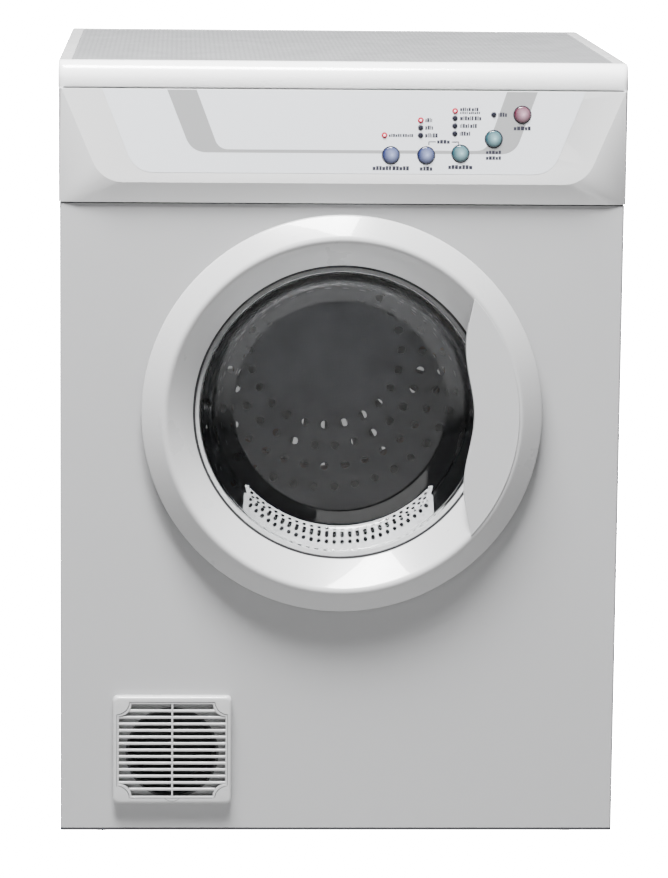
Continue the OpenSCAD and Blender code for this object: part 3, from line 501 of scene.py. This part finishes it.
def recast(node, look, body, width, segments=2, angle=30):
    """A copy of a CAD node's shape with clean faces and rounded edges."""
    build = bmesh.new()
    build.from_mesh(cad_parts[node].data)
    bmesh.ops.remove_doubles(build, verts=build.verts, dist=2e-6)
    bmesh.ops.dissolve_limit(build, angle_limit=math.radians(0.5), verts=build.verts, edges=build.edges)
    mesh = bpy.data.meshes.new(f"soft_{node}")
    build.to_mesh(mesh)
    build.free()
    made = finish_piece(f"soft_{node}", mesh, look, body, [node])
    return soften(made, width, segments, angle)


def filleted(points, radius, steps=4, closed=True):
    """The outline with each corner rounded by a radius, or by its own radius when a point carries one."""
    rounded = []
    count = len(points)
    for i, point in enumerate(points):
        here = Vector(point[:2])
        r = point[2] if len(point) > 2 else radius
        if r <= 0 or (not closed and i in (0, count - 1)):
            rounded.append(tuple(here))
            continue
        before = Vector(points[i - 1][:2]) - here
        after = Vector(points[(i + 1) % count][:2]) - here
        turn = before.angle(after)
        reach = min(r / math.tan(turn / 2), 0.48 * before.length, 0.48 * after.length)
        start = here + before.normalized() * reach
        end = here + after.normalized() * reach
        for k in range(steps + 1):
            t = k / steps
            rounded.append(tuple(start * (1 - t) ** 2 + here * 2 * t * (1 - t) + end * t * t))
    return rounded


def turned(name, outline, look, body, nodes=(), centre=(DOOR_X, DOOR_Z), segments=256, cutters=()):
    """A closed outline in radius and depth, turned all the way round an axis that runs back."""
    vertices = []
    faces = []
    count = len(outline)
    for k in range(segments):
        a = 2 * math.pi * k / segments
        for r, d in outline:
            vertices.append(place(centre[0] + r * math.cos(a), d, centre[1] + r * math.sin(a)))
        faces += band(k * count, (k + 1) % segments * count, count)
    return piece(name, vertices, faces, look, body, nodes, cutters)


def domed(name, outline, look, body, nodes=(), centre=(0, 0), segments=64):
    """An open outline that starts and ends on the axis, turned all the way round it."""
    inner = outline[1:-1]
    vertices = [place(centre[0], outline[0][1], centre[1]), place(centre[0], outline[-1][1], centre[1])]
    faces = []
    count = len(inner)
    for k in range(segments):
        a = 2 * math.pi * k / segments
        base = 2 + k * count
        far = 2 + (k + 1) % segments * count
        for r, d in inner:
            vertices.append(place(centre[0] + r * math.cos(a), d, centre[1] + r * math.sin(a)))
        for i in range(count - 1):
            faces.append((base + i, base + i + 1, far + i + 1, far + i))
        faces.append((0, base, far))
        faces.append((1, far + count - 1, base + count - 1))
    return piece(name, vertices, faces, look, body, nodes)


def slab(name, outline, d0, d1, look, body, nodes=()):
    """A flat outline in X and Z, made solid between two depths."""
    count = len(outline)
    vertices = [place(x, d0, z) for x, z in outline] + [place(x, d1, z) for x, z in outline]
    faces = [tuple(range(count)), tuple(range(2 * count - 1, count - 1, -1))]
    faces += band(0, count, count)
    return piece(name, vertices, faces, look, body, nodes)


def printed(name, outlines, d, look, body, cutters=()):
    """Several flat outlines as one piece, each a thin film of ink."""
    vertices = []
    faces = []
    for outline in outlines:
        a, n = len(vertices), len(outline)
        vertices += [place(x, d, z) for x, z in outline] + [place(x, d + INK_T, z) for x, z in outline]
        faces += [tuple(range(a, a + n)), tuple(range(a + 2 * n - 1, a + n - 1, -1))]
        faces += band(a, a + n, n)
    return piece(name, vertices, faces, look, body, cutters=cutters)


def painted_light_rings(name, rings, d, look, body, steps=48):
    """Thin flat rings, here painted shade and painted glow round bores, each given by its centre and two
    radii.
    """
    vertices = []
    faces = []
    for x, z, r0, r1 in rings:
        a = len(vertices)
        for k in range(steps):
            turn = 2 * math.pi * k / steps
            for r, depth in ((r0, d), (r1, d), (r1, d + INK_T), (r0, d + INK_T)):
                vertices.append(place(x + r * math.cos(turn), depth, z + r * math.sin(turn)))
            faces += band(a + 4 * k, a + 4 * ((k + 1) % steps), 4)
    return piece(name, vertices, faces, look, body)


# ---------- Worktop ----------


def build_worktop():
    """The moulded frame's nosing is rounded along its front and at its two front corners."""
    x, z0, z1, front = WORKTOP_X, WORKTOP_Z0, WORKTOP_Z1, WORKTOP_FRONT
    turns = [k * math.pi / 28 for k in range(15)]
    section = [(12 - (12 - front) * math.sin(t), z1 - 19 * (1 - math.cos(t))) for t in turns]
    section += [(front, z0 + 2), (front + 0.6, z0 + 0.6), (front + 2, z0), (12, z0)]
    vertices = []
    faces = []
    corner_turns = (0.0, 0.4, 0.8, 1.2, math.pi / 2)
    corner = [(6.5 * (1 - math.sin(a)), 6.5 * (1 - math.cos(a))) for a in corner_turns]
    stations = [(-x + inset, pull) for pull, inset in corner]
    stations += [(x - inset, pull) for pull, inset in corner[::-1]]
    for along, shrink in stations:
        for d, z in section:
            pulled_d = min(12.0, d + shrink)
            pulled_z = min(z1 - 0.45 * shrink, z)
            vertices.append(place(along, pulled_d, pulled_z))
    count = len(section)
    for s in range(len(stations) - 1):
        faces += band(s * count, (s + 1) * count, count)
    faces.append(tuple(range(count)))
    faces.append(tuple(range(len(vertices) - 1, len(vertices) - count - 1, -1)))
    piece("worktop_nosing", vertices, faces, "trim", "cabinet", ["worktop_trims"])
    for side, sign in (("left", -1), ("right", 1)):
        outline = filleted(
            [
                (sign * (x - TRIM_W), z0, 0), (sign * x, z0, 0),
                (sign * x, z1, 3), (sign * (x - TRIM_W), z1, 0.6),
            ],
            0, steps=6,
        )
        slab(f"worktop_side_strip_{side}", outline, 12, WORKTOP_BACK, "trim", "cabinet")
    inner = x - TRIM_W
    rear = filleted([(-inner, z0, 0), (inner, z0, 0), (inner, z1, 0), (-inner, z1, 0)], 0)
    slab("worktop_rear_strip", rear, WORKTOP_BACK - 8, WORKTOP_BACK, "trim", "cabinet")
    recast("worktop_board", "laminate", "cabinet", 0.5)


# ---------- Control fascia ----------


def tub(half_w, z_top, z_bottom, lean, r, steps=14):
    """A flat top, sides that lean inwards, and round lower corners."""
    corner = half_w - (z_top - z_bottom) * math.tan(math.radians(lean))
    return filleted(
        [(-half_w, z_top, 0), (-corner, z_bottom, r), (corner, z_bottom, r), (half_w, z_top, 0)], 0, steps
    )


def build_overlay():
    """The marked film, with round holes for the buttons and lamps."""
    holes = [(x, h, BUTTON_HOLE_R) for x, h, _ in BUTTONS.values()]
    holes += [(x, h, LAMP_HOLE_R) for x, h in LIT_LAMPS + DARK_LAMPS]
    rim = tub(253.6, OVERLAY_TOP_Z, FASCIA_Z0 + 32.5, 21.6, 30)
    loops = [rim] + [ring_outline(x, FASCIA_Z0 + h, 0, r, steps=48)[:48] for x, h, r in holes]
    vertices = []
    faces = []
    for loop in loops:
        a = len(vertices)
        n = len(loop)
        vertices += [place(x, PANEL_D, z) for x, z in loop] + [place(x, OVERLAY_BACK_D, z) for x, z in loop]
        faces += band(a, a + n, n)
    mesh = bpy.data.meshes.new("overlay_film")
    mesh.from_pydata([Vector(v) for v in vertices], [], faces)
    build = bmesh.new()
    build.from_mesh(mesh)
    for d in (PANEL_D, OVERLAY_BACK_D):
        fill_flat(build, d)
    build.to_mesh(mesh)
    build.free()
    finish_piece("overlay_film", mesh, "overlay", "cabinet", ["fascia_overlay"])


def build_stripe():
    """The grey band on the overlay: a wide arm at each side, joined by a thin line."""
    outer = [
        (-185.7, OVERLAY_TOP_Z, 0), (-160.0, 755.3, 24), (137.1, 755.3, 0),
        (180.0, 755.3, 22), (203.0, OVERLAY_TOP_Z, 0),
    ]
    inner = [
        (170.7, OVERLAY_TOP_Z, 0), (149.5, 758.7, 15), (-131.5, 758.7, 15), (-154.9, OVERLAY_TOP_Z, 0),
    ]
    outline = filleted(outer + inner, 0, steps=12)
    holes = [
        cutter(ring_outline(x, FASCIA_Z0 + h, 0, BUTTON_HOLE_R, steps=48)[:48], PANEL_D - 1, PANEL_D + 1)
        for x, h, _ in BUTTONS.values()
    ]
    printed("overlay_stripe", [outline], PANEL_D - 0.03, "stripe", "cabinet", holes)


def bar(x, z, width, height):
    """A short printed bar, centred on a point, with x and z in millimetres."""
    return [
        (x - width / 2, z - height / 2), (x + width / 2, z - height / 2),
        (x + width / 2, z + height / 2), (x - width / 2, z + height / 2),
    ]


def ring_outline(x, z, r0, r1, start=0.0, sweep=360.0, steps=20):
    """Part of a flat ring."""
    points = []
    for r, order in ((r1, range(steps + 1)), (r0, range(steps, -1, -1))):
        for k in order:
            a = math.radians(start + sweep * k / steps)
            points.append((x + r * math.cos(a), z + r * math.sin(a)))
    return points


def block_row(x, z, widths, height):
    """A row of small blocks in place of printed words, from its left end. A width of zero is a space."""
    row = []
    for number, width in enumerate(widths):
        tall = height * (1.1 if number % 3 else 0.9)
        if width:
            row.append(bar(x + width / 2, z - (height - tall) / 2, width, tall))
        x += width + BLOCK_GAP
    return row


def row_width(widths):
    return sum(widths) + BLOCK_GAP * (len(widths) - 1)


def build_marks():
    """Rows of plain blocks stand for the lettering, beside each lamp and under each button."""
    marks = []
    lamp_rows = [
        (47.0, 72.8, [1.9, 1.3, 1.9, 1.9, 1.7, 1.5, 0, 1.9, 1.9, 1.5, 1.3, 1.9], 2.9),
        (85.2, 89.0, [1.3, 2.1, 0.9, 0.9], 4.0),
        (85.2, 81.1, [1.9, 2.1, 1.0, 1.3], 4.0),
        (85.2, 73.0, [2.3, 0.9, 1.4, 0.9, 2.1, 2.3], 4.0),
        (121.6, 100.6, [2.1, 1.8, 1.3, 1.3, 2.0, 0, 2.3, 1.3, 2.1], 3.4),
        (121.6, 97.0, [1.1, 0.9, 1.3, 1.2, 1.0, 0, 1.7, 1.6, 1.1, 1.5, 1.4, 1.3], 2.2),
        (121.6, 91.2, [2.9, 1.0, 2.1, 2.1, 1.0, 1.9, 0, 2.3, 1.3, 2.1], 4.0),
        (121.6, 83.2, [0.9, 0.9, 2.1, 2.0, 1.2, 0, 2.3, 1.3, 2.1], 4.0),
        (121.6, 75.0, [0.9, 2.0, 2.1, 2.1, 1.3], 4.0),
        (161.9, 95.2, [0.9, 2.2, 2.0, 2.0], 4.2),
    ]
    for x, height, widths, tall in lamp_rows:
        marks += block_row(x, FASCIA_Z0 + height, widths, tall)
    button_rows = [
        (49.4, 38.2, [3.0, 2.8, 2.5, 3.1, 2.6, 2.5, 0, 3.2, 2.9, 3.1, 2.8, 2.9], 4.0),
        (86.5, 38.0, [3.0, 2.5, 3.1, 2.6], 4.0),
        (122.6, 39.8, [2.9, 2.9, 3.3, 3.2, 2.9, 3.0, 3.4], 4.0),
        (157.4, 55.6, [2.5, 2.5, 3.0, 2.8, 2.5], 3.4),
        (157.4, 49.6, [2.6, 3.0, 2.8, 2.5, 2.5], 3.4),
        (187.2, 81.0, [2.8, 3.3, 3.7, 2.5, 2.9], 3.8),
    ]
    for x, height, widths, tall in button_rows:
        marks += block_row(x - row_width(widths) / 2, FASCIA_Z0 + height, widths, tall)
    link_z = FASCIA_Z0 + 66.4
    marks += block_row(97.9, link_z, [2.4, 3.1, 2.9, 2.9], 3.6)
    marks += [bar(92.6, link_z, 7.6, 1.0), bar(117.0, link_z, 7.6, 1.0)]
    marks += [bar(89.2, link_z - 1.5, 1.0, 3.4), bar(120.4, link_z - 1.5, 1.0, 3.4)]
    printed("overlay_marks", marks, PANEL_D - 0.06, "ink", "cabinet")


def build_buttons():
    """Domed buttons of tinted plastic with a painted highlight near each middle, each in a thin dark ring of
    painted gap shadow round its bore.
    """
    for name, (x, height, look) in BUTTONS.items():
        z = FASCIA_Z0 + height
        dome = [(0.0, -14.4)]
        turns = [k * 0.07 for k in range(1, 23)]
        dome += [(BUTTON_R * math.sin(t), -12.7 - 1.7 * math.cos(t)) for t in turns]
        dome += [(BUTTON_R, -9.3), (FLANGE_R, -9.3), (FLANGE_R, -7.8), (3.0, -7.8), (3.0, -3.0), (0.0, -3.0)]
        made = domed(f"dome_{name}", dome, look, BODY_OF_BUTTON[name], [name], centre=(x, z))
        # The rim attribute grows from a point a little right of and above each middle: where it is low the
        # dome takes the pale painted highlight.
        shade = made.data.attributes.new("rim", "FLOAT", "POINT")
        for i, v in enumerate(made.data.vertices):
            highlight_distance = math.hypot(v.co.x / MM - x - 1.2, v.co.z / MM - z - 0.4) / 9.4
            shade.data[i].value = min(1.0, highlight_distance ** 0.55)
    # Thin dark rings round the button and dark lamp bores are painted shadow of the gaps there.
    gap_shadows = [(x, FASCIA_Z0 + h, 9.05, 9.7) for x, h, _ in BUTTONS.values()]
    gap_shadows += [(x, FASCIA_Z0 + h, 2.35, 3.0) for x, h in DARK_LAMPS]
    painted_light_rings("bore_gap_shadows", gap_shadows, PANEL_D - 0.06, "ink", "cabinet")
    # Red rings round the lit lamps are painted glow of their light on the film.
    halos = [(x, FASCIA_Z0 + h, 2.35, 3.1) for x, h in LIT_LAMPS]
    painted_light_rings("lit_lamp_glow_rings", halos, PANEL_D - 0.06, "painted_lamp_glow", "cabinet")


def build_lamps():
    """Small lenses: a lit one has a red rim and a pale glowing middle."""
    for number, (x, height) in enumerate(LIT_LAMPS):
        z = FASCIA_Z0 + height
        rim = filleted([(1.25, -13.15), (2.28, -13.0), (2.28, -9.5), (1.25, -9.5)], 0.2)
        turned(f"lit_rim_{number}", rim, "lit", "cabinet", ["lit_indicators"], centre=(x, z), segments=32)
        core = [(0, -13.2), (0.8, -13.15), (1.22, -12.95), (1.22, -9.5), (0, -9.5)]
        domed(f"lit_core_{number}", core, "lit_core", "cabinet", centre=(x, z), segments=24)
    for number, (x, height) in enumerate(DARK_LAMPS):
        z = FASCIA_Z0 + height
        lamp = [(0, -13.2), (1.4, -13.1), (2.28, -12.6), (2.28, -9.5), (0, -9.5)]
        domed(f"dark_lamp_{number}", lamp, "dark_lens", "cabinet", ["unlit_indicators"], (x, z), 24)


def build_fascia():
    recast("control_fascia", "fascia", "cabinet", 1.6, segments=4, angle=8)
    build_overlay()
    build_stripe()
    build_marks()
    build_buttons()
    build_lamps()


# ---------- Door ----------


def handle_edge(t):
    """How far right of the door's axis the grip's wavy edge lies, at a height t above the axis."""
    return HANDLE_EDGE_X + HANDLE_WAVE * math.cos(math.pi * t / HANDLE_HALF_WAVE)


def handle_outline(steps=48):
    """The inside of the ridge circle, right of a wavy edge."""
    r = RIDGE_R - 0.4
    wave = []
    for i in range(steps + 1):
        t = HANDLE_HALF_H * (2 * i / steps - 1)
        x = handle_edge(t)
        if x * x + t * t < (r - 0.5) ** 2:
            wave.append((x, t))
    top, bottom = math.atan2(wave[-1][1], wave[-1][0]), math.atan2(wave[0][1], wave[0][0])
    turns = [top + (bottom - top) * k / steps for k in range(steps + 1)]
    arc = [(r * math.cos(a), r * math.sin(a)) for a in turns]
    return [(DOOR_X + x, DOOR_Z + z) for x, z in wave + arc]


def build_door():
    ring = filleted([
        (206.5, -1.5, 0.5), (206.5, -6.0, 0), (RING_R, -7.5, 1.2), (RING_R, -12.0, 3.5),
        (RIDGE_R, RIDGE_D - 0.9, 7.0),
        (WINDOW_R, 0.0, 0.8), (WINDOW_R, 3.0, 0.3), (160.8, 3.0, 0), (160.8, 0.4, 0),
        (186.0, -24.4, 0), (190.0, -24.4, 0), (209.0, -11.0, 0), (209.0, -9.6, 0),
        (204.5, -6.0, 0), (204.5, -1.5, 0),
    ], 0, steps=8)
    notches = []
    for z in (DOOR_Z - HINGE_ARM_Z, DOOR_Z + HINGE_ARM_Z):
        low, high = z - 7.7, z + 7.7
        outline = [(HINGE_X - 12, low), (HINGE_X + 3, low), (HINGE_X + 3, high), (HINGE_X - 12, high)]
        notches.append(cutter(outline, -11, 1))
    turned("door_outer_ring", ring, "white", "door", ["door_ring"], cutters=notches)
    grip = slab("door_grip", handle_outline(), RIDGE_D, RIDGE_D + 4, "handle", "door", ["door_handle"])
    soften(grip, 1.2, segments=4)
    half = GRIP_LIP_HALF_H
    edge = [(handle_edge(t), t) for t in (half * (k / 24 - 1) for k in range(49))]
    lip = [(DOOR_X + x, DOOR_Z + t) for x, t in edge]
    lip += [(DOOR_X + x + 3, DOOR_Z + t) for x, t in edge[::-1]]
    slab("door_grip_lip", lip, RIDGE_D + 3.5, -15.5, "handle", "door")
    gasket = filleted([
        (155.8, 3.2, 0.5), (161.1, 3.2, 0), (161.1, 8.2, 0),
        (157.8, 8.2, 0), (157.8, 4.2, 0), (155.8, 4.2, 0.2),
    ], 0)
    turned("glass_seal_ring", gasket, "rubber", "door", ["glass_gasket"])
    bowl_inside = [(149.0, 4.3, 2.5), (134.0, 44.0, 14.0), (115.0, 50.0, 12.0), (40.0, 50.0, 0)]
    bowl_outside = [(40.0, 54.0, 0), (116.0, 54.0, 16.0), (137.8, 47.0, 18.0), (150.8, 8.3, 2.0)]
    inside = filleted([(157.6, 4.3, 0)] + bowl_inside, 0, steps=8, closed=False)
    outside = filleted(bowl_outside + [(157.6, 8.3, 0)], 0, steps=8, closed=False)
    outline = [(0.0, 54.0)] + outside + inside + [(0.0, 50.0)]
    bowl = domed("glass_bowl", outline, "glass", "door", ["door_glass"], (DOOR_X, DOOR_Z), 192)
    bowl.visible_shadow = False


# ---------- Grille ----------


def grille_window(inset, steps=10):
    """The window's outline: a rectangle whose corners are cut by round lobes."""
    w, h, r = WINDOW_HALF_W + inset, WINDOW_HALF_H + inset, LOBE_R
    points = []
    for cx, cz, start in ((w, h, 270), (-w, h, 0), (-w, -h, 90), (w, -h, 180)):
        for k in range(steps + 1):
            a = math.radians(start - 90 * k / steps)
            points.append((GRILLE_X + cx + r * math.cos(a), GRILLE_Z + cz + r * math.sin(a)))
    return points


def rounded_box(half_w, half_h, r, steps=10):
    """A rounded rectangle about the grille's centre."""
    corners = [(-half_w, -half_h), (half_w, -half_h), (half_w, half_h), (-half_w, half_h)]
    return filleted([(GRILLE_X + x, GRILLE_Z + z, r) for x, z in corners], 0, steps)


def walled(name, profile, hole, d_face, d_back, look, body, nodes=()):
    """A plate with a hole. The profile's rings go from its back over its rounded edge to its face."""
    rings = [[place(x, d, z) for x, z in rounded_box(w, h, r)] for w, h, r, d in profile]
    count = len(rings[0])
    vertices = [v for ring in rings for v in ring]
    faces = []
    for s in range(len(rings) - 1):
        faces += band(s * count, (s + 1) * count, count)
    rim = len(vertices)
    vertices += [place(x, d_face, z) for x, z in hole] + [place(x, d_back, z) for x, z in hole]
    size = len(hole)
    faces += band(rim, rim + size, size)
    mesh = bpy.data.meshes.new(name)
    mesh.from_pydata([Vector(v) for v in vertices], [], faces)
    build = bmesh.new()
    build.from_mesh(mesh)
    bmesh.ops.remove_doubles(build, verts=build.verts, dist=1e-7)
    for d in (d_face, d_back):
        fill_flat(build, d)
    build.to_mesh(mesh)
    build.free()
    return finish_piece(name, mesh, look, body, nodes)


def build_grille():
    """A rounded plate round a slatted insert, with a fine seam between them."""
    w, h = GRILLE_HALF_W, GRILLE_HALF_H
    profile = [(w, h, 6, -0.05)]
    for k in range(7):
        a = math.radians(15 * k)
        inset = 3.2 * (1 - math.cos(a))
        profile.append((w - inset, h - inset, 6, -5.8 - 3.2 * math.sin(a)))
    walled("grille_plate", profile, grille_window(1.6), -9.0, -0.05, "white", "cabinet", ["vent_grille"])
    frame_ring = grille_window(1.1)
    inner = grille_window(-0.9)
    count = len(inner)
    vertices = []
    for d in (-8.6, -3.5):
        vertices += [place(x, d, z) for x, z in frame_ring] + [place(x, d, z) for x, z in inner]
    faces = []
    for i in range(count):
        j = (i + 1) % count
        faces.append((i, j, count + j, count + i))
        faces.append((2 * count + i, 3 * count + i, 3 * count + j, 2 * count + j))
        faces.append((i, 2 * count + i, 2 * count + j, j))
        faces.append((count + i, count + j, 3 * count + j, 3 * count + i))
    insert = piece("grille_insert_frame", vertices, faces, "white", "cabinet")
    soften(insert, 0.3, 1)
    build_slats()
    # A thin dark arc on the plate's face is the painted shadow of a shallow notch.
    notch_shadow = ring_outline(GRILLE_X, GRILLE_Z - 44.2, 11.5, 12.2, 229, 82)
    printed("grille_notch_shadow", [notch_shadow], -9.04, "shadow_line", "cabinet")


def build_slats():
    """Thirteen slats with rounded fronts, and an upright rib across them."""
    vertices = []
    faces = []
    section = filleted(
        [(-8.2, -1.5, 0.9), (-8.2, 1.5, 0.9), (-3.6, 1.1, 0.3), (-3.6, -1.1, 0.3)], 0, steps=4
    )
    count = len(section)
    for i in range(13):
        z = GRILLE_Z + (i - 6) * 7.2
        reach = WINDOW_HALF_W - 0.5
        over = abs(z - GRILLE_Z) - (WINDOW_HALF_H - LOBE_R)
        if over > -1.5:
            reach -= math.sqrt(max(0.0, LOBE_R ** 2 - (LOBE_R - over - 1.5) ** 2)) + 0.3
        for x in (GRILLE_X - reach, GRILLE_X + reach):
            vertices += [place(x, d, z + rise) for d, rise in section]
        a = len(vertices) - 2 * count
        b = a + count
        faces += band(a, b, count)
        faces += [tuple(range(a, b)), tuple(range(b + count - 1, b - 1, -1))]
    piece("grille_slats", vertices, faces, "white", "cabinet")
    h = WINDOW_HALF_H - 0.4
    rib = [
        (GRILLE_X - 1, GRILLE_Z - h), (GRILLE_X + 1, GRILLE_Z - h),
        (GRILLE_X + 1, GRILLE_Z + h), (GRILLE_X - 1, GRILLE_Z + h),
    ]
    soften(slab("grille_rib", rib, -8.5, -3.6, "white", "cabinet"), 0.4)


# ---------- Stage ----------


def build_stage():
    mesh = bpy.data.meshes.new("studio_floor")
    size = 60.0
    corners = [(-size, -size, 0), (size, -size, 0), (size, size, 0), (-size, size, 0)]
    mesh.from_pydata(corners, [], [(0, 1, 2, 3)])
    floor = bpy.data.objects.new("studio_floor", mesh)
    material, shader = node_material("studio_floor")
    shader.inputs["Base Color"].default_value = (FLOOR_GREY, FLOOR_GREY, FLOOR_GREY, 1)
    shader.inputs["Roughness"].default_value = 0.9
    shader.inputs["Emission Color"].default_value = (1, 1, 1, 1)
    camera_only(material, shader.inputs["Emission Strength"], BACKDROP_SEEN, 0.0)
    mesh.materials.append(material)
    bpy.context.scene.collection.objects.link(floor)


def camera_only(material, socket, seen, unseen):
    """A strength that differs between what the camera sees and what lights the object."""
    path = add_node(material, "ShaderNodeLightPath")
    chosen = add_node(material, "ShaderNodeMapRange")
    chosen.inputs["To Min"].default_value = unseen
    chosen.inputs["To Max"].default_value = seen
    link(material, path.outputs["Is Camera Ray"], chosen.inputs["Value"])
    link(material, chosen.outputs["Result"], socket)


def build_world():
    world = bpy.data.worlds.new("studio")
    world.use_nodes = True
    background = world.node_tree.nodes["Background"]
    background.inputs["Color"].default_value = (1, 1, 1, 1)
    camera_only(world, background.inputs["Strength"], BACKDROP_SEEN, WORLD_LIGHT)
    bpy.context.scene.world = world


def area_light(name, at, target, size, power):
    data = bpy.data.lights.new(name, "AREA")
    data.shape = "RECTANGLE"
    data.size, data.size_y = size
    data.energy = power
    light = bpy.data.objects.new(name, data)
    light.location = at
    light.rotation_euler = (Vector(target) - Vector(at)).to_track_quat("-Z", "Y").to_euler()
    bpy.context.scene.collection.objects.link(light)


def build_lights():
    area_light("overhead_key", (-0.42, -1.2, 3.5), (0, -0.2, 0.4), (1.7, 0.8), 640)
    area_light("front_fill", (-0.6, -4.5, 1.9), (0, -0.2, 0.5), (2.6, 1.6), 16)
    area_light("rear_fill", (2.6, 3.4, 2.2), (0, 0.1, 0.4), (2.6, 1.6), 70)


def build_camera():
    yaw, pitch, roll = (math.radians(v) for v in (CAMERA_YAW, CAMERA_PITCH, CAMERA_ROLL))
    forward = Vector((math.sin(yaw) * math.cos(pitch), math.cos(yaw) * math.cos(pitch), -math.sin(pitch)))
    right = forward.cross(Vector((0, 0, 1))).normalized()
    up = right.cross(forward)
    tilted_right = math.cos(roll) * right + math.sin(roll) * up
    tilted_up = -math.sin(roll) * right + math.cos(roll) * up
    data = bpy.data.cameras.new("camera")
    data.lens = CAMERA_LENS
    data.sensor_width = 36.0
    camera = bpy.data.objects.new("camera", data)
    turn = Matrix((tilted_right, tilted_up, -forward)).transposed()
    camera.matrix_world = Matrix.Translation(CAMERA_AT) @ turn.to_4x4()
    bpy.context.scene.collection.objects.link(camera)
    bpy.context.scene.camera = camera


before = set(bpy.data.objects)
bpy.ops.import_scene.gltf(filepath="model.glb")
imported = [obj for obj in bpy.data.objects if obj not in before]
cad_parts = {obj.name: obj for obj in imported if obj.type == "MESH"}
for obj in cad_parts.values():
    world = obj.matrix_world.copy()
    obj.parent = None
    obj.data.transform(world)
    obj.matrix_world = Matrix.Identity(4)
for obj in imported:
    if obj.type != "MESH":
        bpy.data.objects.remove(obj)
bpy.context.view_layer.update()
for node_name, cad_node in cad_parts.items():
    cad_node.data.materials.clear()
    cad_node.data.materials.append(LOOKS[LOOK_OF_NODE[node_name]])
build_worktop()
build_fascia()
build_door()
build_grille()
build_stage()
build_world()
build_lights()
build_camera()
